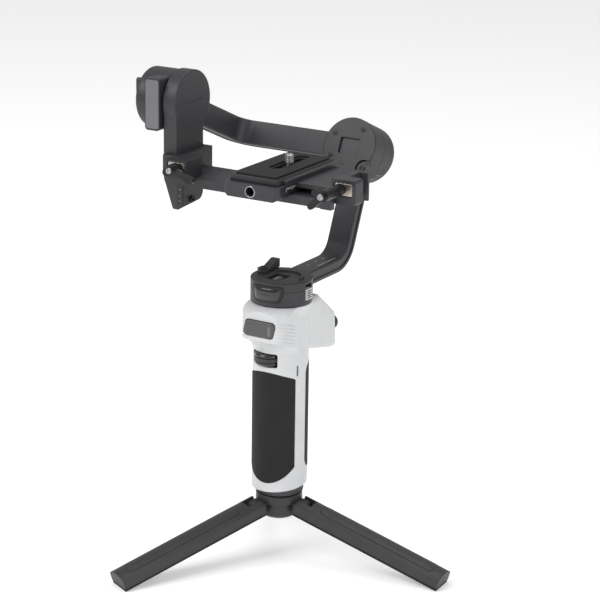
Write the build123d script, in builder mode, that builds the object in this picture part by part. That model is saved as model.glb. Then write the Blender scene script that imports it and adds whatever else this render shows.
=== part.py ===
"""Handheld three-axis camera stabiliser on a folding mini tripod, each piece its own solid.

Millimetres, +Z up. The origin is where the pan axis meets the floor. -Y is the front, where
the lens points, and the tilt motor is on the -X side.
"""
from build123d import *
from math import asin, atan2, cos, degrees, hypot, radians, sin
import os

os.makedirs("parts", exist_ok=True)

# ---------------------------------------------------------------- clearances
SLIP = 0.3            # gap between faces that slide past each other
RUN = 0.06            # radial gap of a pin or shaft that turns in a hole
JOINT_GAP = 0.4       # gap between two turning housings
SEAT = 0.15           # gap round a piece that is glued or clipped into a pocket

# ---------------------------------------------------------------- tripod
PIVOT_R = 19.5        # leg hinge, from the pan axis
PIVOT_Z = 37.0
LEG_LENGTH = 114.0    # hinge to leg end
LEG_WIDTH = 20.0
LEG_SHOULDER = 3.3    # where the crown starts, above the hinge line
LEG_CROWN = 6.4       # top of the crown, above the hinge line
LEG_UNDER = 4.9       # underside of the sole, below the hinge line
SOLE_THICK = 2.2
LEG_ROOT = 2.8        # how far the leg reaches behind its hinge
LEG_AZIMUTH = 3.0
LEG_COUNT = 3
LUG_WIDTH = 9.0
LUG_R = 4.4
PIN_R = 1.5
HUB_R = 14.0
HUB_BOTTOM = 29.0
COLLAR_R = 16.35
COLLAR_Z = 40.2
COLLAR_TOP = 46.5
NECK_R = 13.0
RING_BOTTOM = 47.4
RING_TOP = 56.4
SCREW_R = 3.175       # quarter-inch camera thread
SCREW_HEAD_R = 7.0
SCREW_BOTTOM = 32.0
SCREW_TOP = 64.0

# ---------------------------------------------------------------- handle
GRIP_R = 19.5
WALL = 2.2
RING_GAP = 0.5
RING_R = GRIP_R - WALL - RING_GAP   # the lock ring turns inside the grip's lower end
HANDLE_LOW = 53.0     # the slanted lower edge, at the axis
LOW_SLOPE_X = 0.055
LOW_SLOPE_Y = 0.09
GRIP_TOP = 143.0
HEAD_TOP = 186.7
HEAD_HALF = 18.8
LIP_FRONT = 27.4
LIP_CORNER = 10.0
LIP_LOW = 163.5      # lower front edge of the head
NECK_Z = 149.0        # where the head starts to lean out over the grip
LIP_TOP = 180.0
SHOULDER_R = 27.3
SHOULDER_Z = 183.2
NECK_STEP = 0.5       # keeps the swelling clear of the round grip's own surface
NECK_BOW = 2.6
SEAM_Y = 8.0
BUMP_HALF = 16.0
BUMP_REACH = 51.5
BUMP_LOW = 140.8
BUMP_HEIGHT = 27.6    # of the flat back that carries the panel
BUMP_LEAN = 2.0       # how far the back leans in over that height
BUMP_RISE = 12.0      # climb of its underside from the back to the pan axis
BUMP_CREST = 27.0     # where its level top ends
PAD_HALF = 17.3
PAD_SINK = 1.3
PAD_PROUD = 0.25
PAD_SHOULDER = 70.0
PAD_LOWEST = 58.0
PAD_TOP = 139.3       # crown of the pad's arched top edge
PAD_TOP_DROP = 4.8    # fall of the arch at both sides
STRIP_LOW = 66.0
STRIP_TOP = 143.5
STRIP_FRONT = 1.7
STRIP_CORNER = 8.0
LIGHT_Y = -7.2
LIGHT_LOW = 136.6
LIGHT_TOP = 143.8
LIGHT_WIDTH = 1.0
INSERT_R = 7.0
INSERT_FLOOR = 57.6
INSERT_TOP = 68.0
CELL_R = 7.0
CELL_LENGTH = 62.0
CELL_Z = 70.0
TRIGGER_X = -1.2
TRIGGER_WIDTH = 24.0
TRIGGER_HEIGHT = 11.2
TRIGGER_CORNER = 3.0
TRIGGER_SKEW = 1.3    # its top edge sits this far to the right of its middle
TRIGGER_Z = 172.4
TRIGGER_FRONT = 28.4
TRIGGER_BACK = 20.0
TRIGGER_TRAVEL = 2.0
DIAL_X = -2.2
DIAL_Y = -12.4
DIAL_R = 10.0
DIAL_Z = 148.0
DIAL_HEIGHT = 9.0
DIAL_AXLE_R = 1.5

# ---------------------------------------------------------------- pan motor and arm
MOTOR_R = 21.5
BELL_R = 14.5
STATOR_R = 11.5
BEARING_R = 6.0
SHAFT_R = 3.0
SEAT_Z = 163.0        # underside of the plate that carries the pan motor
SEAT_THICK = 3.0
PAN_LOW = HEAD_TOP + JOINT_GAP
PAN_SEAM = 197.7
PAN_TOP = 204.0
COVER_PROUD = 0.8     # the glossy front cover stands out from the drum
COVER_DEPTH = 1.4
COVER_LEFT = 10.8
COVER_RIGHT = 12.2
COVER_TAPER = 2.4     # how far its lower corners draw in
COVER_LOW = 3.4
COVER_MIDDLE = 9.2
COVER_TOP = 14.6
LOCK_FRONT = -3.2
LOCK_BACK = 4.4
LOCK_LOW = 3.4        # the lock slider, above the housing's underside
LOCK_TOP = 11.0
LOCK_TRAVEL = 3.0
ARM_WIDTH = 18.0
ARM_THICK = 10.0
ARM_Z = 197.0         # centre line of the arm's level part
ARM_TAIL = -12.0
ARM_BEND = 20.0
ARM_TRAVEL_IN = 6.0
LEVER_X = -15.2
LEVER_Y = 1.0
LEVER_THICK = 2.5
LEVER_REACH = 16.5
LEVER_TAB = 6.0
LEVER_WIDTH = 6.0

# ---------------------------------------------------------------- roll and tilt
TILT_Z = 317.0        # height of the tilt axis
ROLL_LEAN = 23.5      # the roll axis drops this much towards the back
ROLL_DISTANCE = 118.0 # tilt axis to the middle of the pan arm, along the roll axis
ROLL_R = 21.0
ROLL_RING = 5.0       # half the depth of the ring at the arm's top
ROLL_COVER = 8.0
ROLL_HEAD = 12.4      # depth of the turning clamp housing
ROLL_CAP = 2.0
ROLL_ARM_X = -97.0
ROLL_ARM_TAIL = 13.0
ROLL_ARM_BEND = 14.0
TILT_R = 21.0
TILT_OUT = -108.0     # outer end of the tilt housing
TILT_IN = -84.4
DISC_R = 22.0
DISC_OUT = -83.2
DISC_IN = -73.0
PLATE_FRONT = -21.0
PLATE_BACK = 12.0
PLATE_IN = -72.6
PLATE_BOTTOM = 244.0
PLATE_TOP_TAPER = 266.0
LAMP_HALF = 18.2
LAMP_FRONT = -24.4
LAMP_OUT = -96.4

# ---------------------------------------------------------------- camera stage
BAR_FRONT = -28.0
BAR_BACK = 10.0
BAR_LOW = 264.5
BAR_TOP = 270.5
BAR_RIGHT = 46.0
LIP_RIGHT = 54.0
CLAMP_TOP = 283.5
CLAMP_LEFT_IN = -55.0
CLAMP_FRONT = -36.5
JAW_WIDTH = 13.4
JAW_HEIGHT = 8.6
JAW_DEPTH = 12.0
LEFT_SCREW_X = -63.0
LEFT_SCREW_Z = 278.2
RIGHT_SCREW_X = 57.0
RIGHT_JAW_SHIFT = 2.6 # the right jaw sits off its screw's line
RIGHT_SCREW_Z = 277.6
LEVER_SHAFT_R = 4.0
BRACKET_LEFT = 50.6
BRACKET_RIGHT = 69.0
BRACKET_FRONT = -22.0
BRACKET_DEPTH = 10.0
BRACKET_LOW = 267.5
BRACKET_TOP = 284.5
BASE_FRONT = -42.0
BASE_BACK = 48.0
BASE_LOW = BAR_TOP + SLIP
BASE_TOP = 277.0
BOSS_BACK = BAR_FRONT - SLIP
BOSS_LOW = 267.0
BOSS_HOLE_R = 3.2
BOSS_HOLE_DEPTH = 9.0
WING_FRONT = -20.0
WING_BACK = 34.0
WING_THICK = 3.0
TOP_PLATE_HALF = 19.0
RAIL_WIDTH = 3.0
BASE_HALF = TOP_PLATE_HALF + RAIL_WIDTH
TOP_PLATE_FRONT = -37.0
TOP_PLATE_BACK = 38.0
TOP_PLATE_THICK = 4.0
RAIL_HEIGHT = 3.0
DOVETAIL = 0.45       # the rails lean in this much per millimetre of height
PAD_THICK = 1.2
CAMERA_SCREW_Y = 8.0
CAMERA_SCREW_RISE = 6.0
SCREW_SHANK_R = 2.5   # captive shank below the thread
SCREW_KNOB_THICK = 2.0

pieces = {}


# ---------------------------------------------------------------- shared shapes
def ring_tube(outer, inner, low, high, plane=Plane.XY):
    """A plain tube between two heights above a plane."""
    with BuildPart() as tube:
        with BuildSketch(plane.offset(low)):
            Circle(outer)
            if inner > 0:
                Circle(inner, mode=Mode.SUBTRACT)
        extrude(amount=high - low)
    return tube.part


def block(x0, x1, y0, y1, z0, z1, upright=0.0):
    """A box from its corner positions, with its upright edges rounded."""
    with BuildPart() as box:
        with BuildSketch(Plane.XY.offset(z0)):
            with Locations(((x0 + x1) / 2, (y0 + y1) / 2)):
                if upright > 0:
                    RectangleRounded(x1 - x0, y1 - y0, upright)
                else:
                    Rectangle(x1 - x0, y1 - y0)
        extrude(amount=z1 - z0)
    return box.part


def front_slab(width, height, corner, x, z, y_front, y_back):
    """A rounded rectangle seen from the front, with its depth along Y."""
    with BuildPart() as slab:
        with BuildSketch(Plane.XZ.offset(-y_back)):
            with Locations((x, z)):
                RectangleRounded(width, height, corner)
        extrude(amount=y_back - y_front)
    return slab.part


# ---------------------------------------------------------------- tripod pieces
leg_reach = hypot(LEG_LENGTH, LEG_UNDER)
LEG_SLOPE = degrees(asin(PIVOT_Z / leg_reach) - atan2(LEG_UNDER, LEG_LENGTH))
leg_angles = [LEG_AZIMUTH + i * 360 / LEG_COUNT for i in range(LEG_COUNT)]


def hinge_plane(angle):
    """Upright plane through a leg's middle: local x outwards, local y up, at its hinge."""
    out = Vector(cos(radians(angle)), sin(radians(angle)), 0)
    side = Vector(sin(radians(angle)), -cos(radians(angle)), 0)
    return Plane(origin=out * PIVOT_R + Vector(0, 0, PIVOT_Z), x_dir=out, z_dir=side)


with BuildPart() as tripod_hub:
    with BuildSketch(Plane.XZ) as hub_profile:
        with BuildLine():
            Polyline(
                (0, HUB_BOTTOM), (HUB_R - 3, HUB_BOTTOM), (HUB_R - 1, HUB_BOTTOM + 2), (HUB_R, COLLAR_Z),
                (COLLAR_R - 0.5, COLLAR_Z), (COLLAR_R, COLLAR_Z + 0.5), (COLLAR_R, COLLAR_TOP - 0.6),
                (COLLAR_R - 0.6, COLLAR_TOP), (NECK_R, COLLAR_TOP), (NECK_R, RING_BOTTOM - SLIP),
                (0, RING_BOTTOM - SLIP), (0, HUB_BOTTOM),
            )
        make_face()
    revolve(axis=Axis.Z)
    for angle in leg_angles:
        with BuildSketch(hinge_plane(angle)):
            Circle(LUG_R)
            with Locations((-PIVOT_R / 4, 0)):
                Rectangle(PIVOT_R / 2, 2 * LUG_R)
        extrude(amount=LUG_WIDTH / 2, both=True)
    for angle in leg_angles:
        with BuildSketch(hinge_plane(angle)):
            Circle(PIN_R)
        extrude(amount=LUG_WIDTH, both=True, mode=Mode.SUBTRACT)
    with BuildSketch(Plane.XY.offset(HUB_BOTTOM)):
        Circle(SCREW_R + 4 * RUN)
    extrude(amount=RING_BOTTOM, mode=Mode.SUBTRACT)
    with BuildSketch(Plane.XY.offset(HUB_BOTTOM)):
        Circle(SCREW_HEAD_R + SLIP)
    extrude(amount=SCREW_BOTTOM + 4 - HUB_BOTTOM, mode=Mode.SUBTRACT)
pieces["tripod_hub"] = tripod_hub.part

with BuildPart() as hinge_pins:
    for angle in leg_angles:
        with BuildSketch(hinge_plane(angle)):
            Circle(PIN_R)
        extrude(amount=LEG_WIDTH / 2 - 0.8, both=True)
pieces["leg_hinge_pins"] = hinge_pins.part


def leg_body(angle, low, high_edge, crown, half):
    """A leg's length with a crowned or flat top, drawn along its slope."""
    upright = hinge_plane(angle)
    along = (upright.x_dir * cos(radians(LEG_SLOPE))) - (upright.y_dir * sin(radians(LEG_SLOPE)))
    across = upright.z_dir
    section = Plane(origin=upright.origin - along * LEG_ROOT, x_dir=across, z_dir=along)
    with BuildPart() as leg:
        with BuildSketch(section):
            with BuildLine():
                Line((-half, -high_edge), (-half, low))
                Line((-half, low), (half, low))
                Line((half, low), (half, -high_edge))
                if crown > high_edge:
                    ThreePointArc((half, -high_edge), (0, -crown), (-half, -high_edge))
                else:
                    Line((half, -high_edge), (-half, -high_edge))
            make_face()
        extrude(amount=LEG_LENGTH + LEG_ROOT)
        with BuildSketch(upright):
            with Locations((1.2, 0)):
                Rectangle(2 * LUG_R + 6, 4 * LEG_CROWN)
        extrude(amount=LUG_WIDTH / 2 + SLIP, both=True, mode=Mode.SUBTRACT)
        with BuildSketch(upright):
            Circle(PIN_R + RUN)
        extrude(amount=LEG_WIDTH / 2 - 0.8 + SLIP, both=True, mode=Mode.SUBTRACT)
    return leg.part


for number, angle in enumerate(leg_angles, 1):
    pieces[f"leg_{number}"] = leg_body(angle, LEG_UNDER - SOLE_THICK, LEG_SHOULDER, LEG_CROWN, LEG_WIDTH / 2)
    with BuildPart() as sole:
        add(leg_body(angle, LEG_UNDER, -(LEG_UNDER - SOLE_THICK), -(LEG_UNDER - SOLE_THICK), LEG_WIDTH / 2 - 0.9))
    pieces[f"leg_{number}_sole"] = sole.part

with BuildPart() as knurled_ring:
    with BuildSketch(Plane.XY.offset(RING_BOTTOM)):
        Circle(RING_R)
        Circle(SCREW_R, mode=Mode.SUBTRACT)
    extrude(amount=3.2)
    with BuildSketch(Plane.XY.offset(RING_BOTTOM + 3.2)):
        Circle(RING_R)
        Circle(RING_R - 3.0, mode=Mode.SUBTRACT)
    extrude(amount=RING_TOP - RING_BOTTOM - 3.2)
    chamfer(knurled_ring.edges().filter_by(GeomType.CIRCLE).group_by(Axis.Z)[0].sort_by(SortBy.RADIUS)[-1], 0.5)
pieces["knurled_ring"] = knurled_ring.part

with BuildPart() as tripod_screw:
    with BuildSketch(Plane.XY.offset(SCREW_BOTTOM)):
        Circle(SCREW_HEAD_R)
    extrude(amount=3.6)
    with BuildSketch(Plane.XY.offset(SCREW_BOTTOM)):
        Circle(SCREW_R)
    extrude(amount=SCREW_TOP - SCREW_BOTTOM)
    chamfer(tripod_screw.edges().group_by(Axis.Z)[-1], 0.6)
pieces["tripod_screw"] = tripod_screw.part


# ---------------------------------------------------------------- handle shells
def handle_form(inset):
    """The handle as one solid, drawn in all round by a wall."""
    low = HANDLE_LOW - 8
    top = HEAD_TOP - inset
    with BuildPart() as lip:
        with BuildSketch(Plane.XY.offset(GRIP_TOP)):
            with Locations((0, -LIP_FRONT / 2 + 2)):
                Rectangle(2 * (HEAD_HALF - inset), LIP_FRONT + 4 - 2 * inset)
        extrude(amount=top - GRIP_TOP)
        fillet(lip.edges().filter_by(Axis.Z).sort_by(Axis.Y)[:2], LIP_CORNER - inset)
        with BuildSketch(Plane.YZ):
            with BuildLine():
                neck_front = -GRIP_R + 1
                ThreePointArc(
                    (neck_front, NECK_Z), (neck_front - 2.3, (NECK_Z + LIP_LOW) / 2 + 1.6), (-LIP_FRONT, LIP_LOW)
                )
                Polyline(
                    (-LIP_FRONT, LIP_LOW), (-LIP_FRONT + 1.2, HEAD_TOP),
                    (SEAM_Y, HEAD_TOP), (SEAM_Y, NECK_Z), (neck_front, NECK_Z),
                )
            make_face()
            if inset > 0:
                offset(amount=-inset, mode=Mode.REPLACE)
        extrude(amount=HEAD_HALF + 1, both=True, mode=Mode.INTERSECT)
        # The neck swells from the grip to the corners, and the shoulders round in to the motor.
        reach = hypot(HEAD_HALF - LIP_CORNER, LIP_FRONT - LIP_CORNER) + LIP_CORNER + 0.2
        neck_r = GRIP_R - NECK_STEP
        with BuildSketch(Plane.XZ):
            with BuildLine():
                ThreePointArc(
                    (neck_r - inset, NECK_Z), (neck_r + NECK_BOW - inset, (NECK_Z + LIP_LOW) / 2 + NECK_BOW / 2), (reach - inset, LIP_LOW)
                )
                Line((reach - inset, LIP_LOW), (reach - inset, LIP_TOP - 3))
                ThreePointArc((reach - inset, LIP_TOP - 3), (SHOULDER_R - inset, SHOULDER_Z), (MOTOR_R - inset, top))
                Polyline((MOTOR_R - inset, top), (0, top), (0, NECK_Z), (neck_r - inset, NECK_Z))
            make_face()
        revolve(axis=Axis.Z, mode=Mode.INTERSECT)
    with BuildPart() as grip:
        with BuildSketch(Plane.XZ):
            with BuildLine():
                Polyline(
                    (0, low), (GRIP_R - inset, low), (GRIP_R - inset, LIP_TOP - 2), (MOTOR_R - 0.2 - inset, top - 1),
                    (MOTOR_R - 0.2 - inset, top), (0, top), (0, low),
                )
            make_face()
        revolve(axis=Axis.Z)
    with BuildPart() as bump:
        with BuildSketch(Plane.YZ):
            with BuildLine():
                Polyline(
                    (0, BUMP_LOW + BUMP_RISE), (BUMP_REACH, BUMP_LOW), (BUMP_REACH - BUMP_LEAN, BUMP_LOW + BUMP_HEIGHT),
                    (BUMP_CREST, HEAD_TOP - 0.6), (0, HEAD_TOP - 0.6), (0, BUMP_LOW + BUMP_RISE),
                )
            make_face()
            if inset > 0:
                offset(amount=-inset, mode=Mode.REPLACE)
        extrude(amount=BUMP_HALF - inset, both=True)
        if inset == 0:
            back_edges = bump.edges().filter_by(Axis.X).filter_by(lambda e: e.center().Y > 40)
            fillet(back_edges, 4.6)
            side_edges = bump.edges().filter_by(
                lambda e: e.center().Y > 12 and abs(abs(e.center().X) - BUMP_HALF) < 0.01
            )
            fillet(side_edges, 4.4)
    with BuildPart() as whole:
        add(grip.part)
        add(lip.part)
        add(bump.part)
        slanted = Plane(origin=(0, 0, HANDLE_LOW), z_dir=(-LOW_SLOPE_X, -LOW_SLOPE_Y, 1))
        split(bisect_by=slanted, keep=Keep.TOP)
    return whole.part


def front_pad_outline(grow):
    """Outline of the front pad, with an arched top edge and a round lower end."""
    half = PAD_HALF + grow
    side_top = PAD_TOP - PAD_TOP_DROP + grow
    with BuildSketch(Plane.XZ) as outline:
        with BuildLine():
            Line((-half, PAD_SHOULDER), (-half, side_top))
            ThreePointArc((-half, side_top), (0, PAD_TOP + grow), (half, side_top))
            Line((half, side_top), (half, PAD_SHOULDER))
            ThreePointArc((half, PAD_SHOULDER), (0, PAD_LOWEST - grow), (-half, PAD_SHOULDER))
        make_face()
        fillet(outline.vertices().sort_by(Axis.Y)[-2:], 2.0)
    return outline


def rear_strip_outline(grow):
    """Side view of the strip that wraps the back of the grip, rounded at both ends."""
    back = 2 * GRIP_R
    with BuildSketch(Plane.YZ) as outline:
        with Locations(((STRIP_FRONT - grow + back) / 2, (STRIP_LOW + STRIP_TOP) / 2)):
            RectangleRounded(back - STRIP_FRONT + grow, STRIP_TOP - STRIP_LOW + 2 * grow, STRIP_CORNER)
    return outline


def grip_skin(outline, both, outer, inner):
    """The part of a thin tube round the grip that an outline cuts out, on one side or both."""
    with BuildPart() as skin:
        with BuildSketch(Plane.XY.offset(50)):
            Circle(outer)
            Circle(inner, mode=Mode.SUBTRACT)
        extrude(amount=100)
        extrude(outline.sketch, amount=2 * GRIP_R, both=both, mode=Mode.INTERSECT)
    return skin.part


def trigger_form(grow, y_front, y_back):
    """The trigger's slanted outline with rounded corners, between two depths."""
    half = TRIGGER_WIDTH / 2 + grow
    rise = TRIGGER_HEIGHT / 2 + grow
    with BuildPart() as form:
        with BuildSketch(Plane.XZ.offset(-y_back)) as outline:
            with Locations((TRIGGER_X, TRIGGER_Z)):
                Polygon(
                    (-half - TRIGGER_SKEW, -rise), (half - TRIGGER_SKEW, -rise), (half + TRIGGER_SKEW, rise),
                    (-half + TRIGGER_SKEW, rise), align=None,
                )
            fillet(outline.vertices(), TRIGGER_CORNER)
        extrude(amount=y_back - y_front)
    return form.part


with BuildPart() as handle_shell:
    add(handle_form(0.0))
    add(handle_form(WALL), mode=Mode.SUBTRACT)
    # Room for the motor's bell in the top.
    with BuildSketch(Plane.XY.offset(HEAD_TOP - 6)):
        Circle(BELL_R + 1.2)
    extrude(amount=10, mode=Mode.SUBTRACT)
    # The lower end is open for the ring and the threaded insert.
    with BuildSketch(Plane.XY.offset(HANDLE_LOW - 10)):
        Circle(GRIP_R - WALL)
    extrude(amount=14, mode=Mode.SUBTRACT)
    add(grip_skin(front_pad_outline(SEAT), False, GRIP_R + 6, GRIP_R - PAD_SINK), mode=Mode.SUBTRACT)
    add(grip_skin(rear_strip_outline(SEAT), True, GRIP_R + 0.6, GRIP_R - PAD_SINK), mode=Mode.SUBTRACT)
    # Trigger window.
    add(trigger_form(SLIP, -2 * GRIP_R, -TRIGGER_BACK + 4), mode=Mode.SUBTRACT)
    # Dial window.
    add(front_slab(2 * DIAL_R + 0.8, DIAL_HEIGHT + 1.0, 1.5, DIAL_X, DIAL_Z, -40, DIAL_Y + 2), mode=Mode.SUBTRACT)
    # Slot for the status light, on the right-hand side.
    add(
        block(
            GRIP_R - 5, GRIP_R + 3, LIGHT_Y - LIGHT_WIDTH / 2 - SEAT, LIGHT_Y + LIGHT_WIDTH / 2 + SEAT,
            LIGHT_LOW - SEAT, LIGHT_TOP + SEAT,
        ),
        mode=Mode.SUBTRACT,
    )

panel_lean = degrees(atan2(BUMP_LEAN, BUMP_HEIGHT))
panel_plane = Plane(
    origin=(0, BUMP_REACH - BUMP_LEAN / 2, BUMP_LOW + BUMP_HEIGHT / 2),
    x_dir=(-1, 0, 0),
    z_dir=(0, cos(radians(panel_lean)), sin(radians(panel_lean))),
)
PANEL_WIDTH = 26.0
PANEL_HEIGHT = 17.0
PANEL_THICK = 1.2
STICK_AT = (-8.0, 3.6)
MODE_AT = (-2.5, -5.6)
RECORD_AT = (5.5, -5.6)
SCREEN_AT = (5.4, 2.6)
SCREEN_WIDTH = 12.4
SCREEN_HEIGHT = 7.4
SCREEN_DEPTH = 0.7
BUTTON_R = 2.2
STICK_R = 6.0         # thumb cap
STICK_LOW = 2.2       # the cap's underside, above the panel
STICK_THICK = 3.2
BALL_R = 3.2
BALL_DEPTH = 0.6      # the ball's centre, below the panel's face

with BuildPart() as handle_front_shell:
    add(handle_shell.part)
    split(bisect_by=Plane.XZ.offset(-SEAM_Y), keep=Keep.TOP)
pieces["handle_front_shell"] = handle_front_shell.part

with BuildPart() as handle_rear_shell:
    add(handle_shell.part)
    split(bisect_by=Plane.XZ.offset(-SEAM_Y), keep=Keep.BOTTOM)
    with BuildSketch(panel_plane.offset(-PANEL_THICK)):
        RectangleRounded(PANEL_WIDTH + 2 * SEAT, PANEL_HEIGHT + 2 * SEAT, 3.0)
    extrude(amount=4, mode=Mode.SUBTRACT)
    with BuildSketch(panel_plane.offset(-8)):
        with Locations(STICK_AT):
            Circle(BALL_R + SLIP)
        with Locations(MODE_AT, RECORD_AT):
            Circle(BUTTON_R + SLIP)
    extrude(amount=8, mode=Mode.SUBTRACT)
pieces["handle_rear_shell"] = handle_rear_shell.part

pieces["front_grip_pad"] = grip_skin(front_pad_outline(0), False, GRIP_R + PAD_PROUD, GRIP_R - PAD_SINK)
pieces["rear_grip_strip"] = grip_skin(rear_strip_outline(0), True, GRIP_R + PAD_PROUD, GRIP_R - PAD_SINK)
pieces["status_light"] = block(
    GRIP_R - 3.5, GRIP_R - 1.2, LIGHT_Y - LIGHT_WIDTH / 2, LIGHT_Y + LIGHT_WIDTH / 2, LIGHT_LOW, LIGHT_TOP
)

with BuildPart() as thread_insert:
    with BuildSketch(Plane.XY.offset(INSERT_FLOOR)):
        Circle(GRIP_R - WALL)
    extrude(amount=3)
    with BuildSketch(Plane.XY.offset(INSERT_FLOOR)):
        Circle(INSERT_R)
    extrude(amount=INSERT_TOP - INSERT_FLOOR)
    with BuildSketch(Plane.XY.offset(INSERT_FLOOR)):
        Circle(SCREW_R + RUN)
    extrude(amount=INSERT_TOP - INSERT_FLOOR, mode=Mode.SUBTRACT)
pieces["thread_insert"] = thread_insert.part

with BuildPart() as battery_cells:
    with BuildSketch(Plane.XY.offset(CELL_Z)):
        with PolarLocations((CELL_R + SEAT) / cos(radians(30)), 3):
            Circle(CELL_R)
    extrude(amount=CELL_LENGTH)
pieces["battery_cells"] = battery_cells.part

# The metal frame inside the head carries the pan motor, the dial's axle and the circuit board.
with BuildPart() as inner_frame:
    with BuildSketch(Plane.XY.offset(SEAT_Z)):
        Circle(GRIP_R - WALL - SEAT)
    extrude(amount=SEAT_THICK)
    with BuildSketch(Plane.XY.offset(SEAT_Z)):
        Circle(BEARING_R)
    extrude(amount=20)
    for plate_z in (DIAL_Z - DIAL_HEIGHT / 2 - 4.0, DIAL_Z + DIAL_HEIGHT / 2 + 1.5):
        with BuildSketch(Plane.XY.offset(plate_z)):
            with Locations((0, -5)):
                Rectangle(12, 22)
        extrude(amount=2.5)
    with BuildSketch(Plane.XY.offset(DIAL_Z - DIAL_HEIGHT / 2 - 4.0)):
        with Locations((0, 5)):
            Rectangle(20, 2)
    extrude(amount=SEAT_Z - (DIAL_Z - DIAL_HEIGHT / 2 - 4.0))
    with BuildSketch(Plane.XY.offset(SEAT_Z - 30)):
        Circle(BEARING_R - 1.5)
    extrude(amount=60, mode=Mode.SUBTRACT)
    # The dial's axle is cast on, between the two plates.
    with BuildSketch(Plane.XY.offset(DIAL_Z - DIAL_HEIGHT / 2 - 4.0)):
        with Locations((DIAL_X, DIAL_Y)):
            Circle(DIAL_AXLE_R)
    extrude(amount=DIAL_HEIGHT + 8.0)
pieces["inner_frame"] = inner_frame.part

pieces["main_board"] = block(-12.5, 12.5, 8.6, 10.2, 134.0, 162.0)

with BuildPart() as scroll_dial:
    with BuildSketch(Plane.XZ) as dial_profile:
        low = -DIAL_HEIGHT / 2
        groove = DIAL_HEIGHT / 6
        with BuildLine():
            Polyline(
                (DIAL_AXLE_R + RUN, low), (DIAL_R - 1.6, low), (DIAL_R - 0.5, low + 0.9), (DIAL_R - 0.2, low + groove),
                (DIAL_R - 0.9, low + 2 * groove - 0.5), (DIAL_R, low + 2 * groove), (DIAL_R, low + 4 * groove),
                (DIAL_R - 0.9, low + 4 * groove + 0.5), (DIAL_R - 0.2, low + 5 * groove),
                (DIAL_R - 0.5, -low - 0.9), (DIAL_R - 1.6, -low), (DIAL_AXLE_R + RUN, -low),
                (DIAL_AXLE_R + RUN, low),
            )
        make_face()
    revolve(axis=Axis.Z)
pieces["scroll_dial"] = scroll_dial.part.moved(Location((DIAL_X, DIAL_Y, DIAL_Z)))

with BuildPart() as trigger:
    add(trigger_form(0, -TRIGGER_FRONT, -TRIGGER_BACK))
    fillet(trigger.faces().sort_by(Axis.Y)[0].edges(), 1.3)
    add(front_slab(8, 4, 0.5, TRIGGER_X, TRIGGER_Z - 1, -TRIGGER_BACK, -BELL_R - TRIGGER_TRAVEL - 1.2))
pieces["trigger"] = trigger.part

# ---------------------------------------------------------------- controls on the back of the head
with BuildPart() as control_panel:
    with BuildSketch(panel_plane.offset(-PANEL_THICK)):
        RectangleRounded(PANEL_WIDTH, PANEL_HEIGHT, 2.8)
        with Locations(STICK_AT):
            Circle(BALL_R + SLIP, mode=Mode.SUBTRACT)
        with Locations(MODE_AT, RECORD_AT):
            Circle(BUTTON_R + SLIP, mode=Mode.SUBTRACT)
    extrude(amount=PANEL_THICK)
    with BuildSketch(panel_plane.offset(-SCREEN_DEPTH)):
        with Locations(SCREEN_AT):
            RectangleRounded(SCREEN_WIDTH, SCREEN_HEIGHT, 0.8)
    extrude(amount=PANEL_THICK, mode=Mode.SUBTRACT)
pieces["control_panel"] = control_panel.part

with BuildPart() as display_window:
    with BuildSketch(panel_plane.offset(-SCREEN_DEPTH)):
        with Locations(SCREEN_AT):
            RectangleRounded(SCREEN_WIDTH - 2 * SEAT, SCREEN_HEIGHT - 2 * SEAT, 0.7)
    extrude(amount=SCREEN_DEPTH)
pieces["display_window"] = display_window.part


def panel_button(at):
    """A push button with a flange behind the panel."""
    with BuildPart() as button:
        with BuildSketch(panel_plane.offset(-5)):
            with Locations(at):
                Circle(BUTTON_R)
        extrude(amount=5.8)
        fillet(button.faces().sort_by(Axis.Y)[-1].edges(), 0.4)
    return button.part


pieces["mode_button"] = panel_button(MODE_AT)
pieces["record_button"] = panel_button(RECORD_AT)

# The cap rides on a ball that turns in the panel's hole. The ball's foot plate keeps it in.
ball_centre = panel_plane.from_local_coords(Vector(STICK_AT[0], STICK_AT[1], -BALL_DEPTH))
with BuildPart() as joystick_cradle:
    with Locations(ball_centre):
        Sphere(BALL_R)
    with BuildSketch(panel_plane.offset(-6.5)):
        with Locations(STICK_AT):
            Circle(1.3)
    extrude(amount=5)
    with BuildSketch(panel_plane.offset(-7.5)):
        with Locations(STICK_AT):
            Circle(4.6)
    extrude(amount=1.2)
pieces["joystick_cradle"] = joystick_cradle.part

with BuildPart() as joystick_cap:
    with BuildSketch(panel_plane.offset(STICK_LOW)):
        with Locations(STICK_AT):
            Circle(STICK_R)
    extrude(amount=STICK_THICK)
    fillet(joystick_cap.faces().sort_by(Axis.Y)[-1].edges(), 1.3)
    with Locations(ball_centre):
        Sphere(BALL_R + SLIP, mode=Mode.SUBTRACT)
pieces["joystick_cap"] = joystick_cap.part

# ---------------------------------------------------------------- pan motor
pieces["pan_stator"] = ring_tube(STATOR_R, BEARING_R, SEAT_Z + SEAT_THICK + 2, SEAT_Z + SEAT_THICK + 14)
with BuildPart() as pan_bearings:
    for bearing_z in (SEAT_Z + SEAT_THICK, SEAT_Z + SEAT_THICK + 13.5):
        with BuildSketch(Plane.XY.offset(bearing_z)):
            Circle(BEARING_R - 1.5)
            Circle(SHAFT_R + RUN, mode=Mode.SUBTRACT)
        extrude(amount=3.5)
pieces["pan_bearings"] = pan_bearings.part

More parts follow.
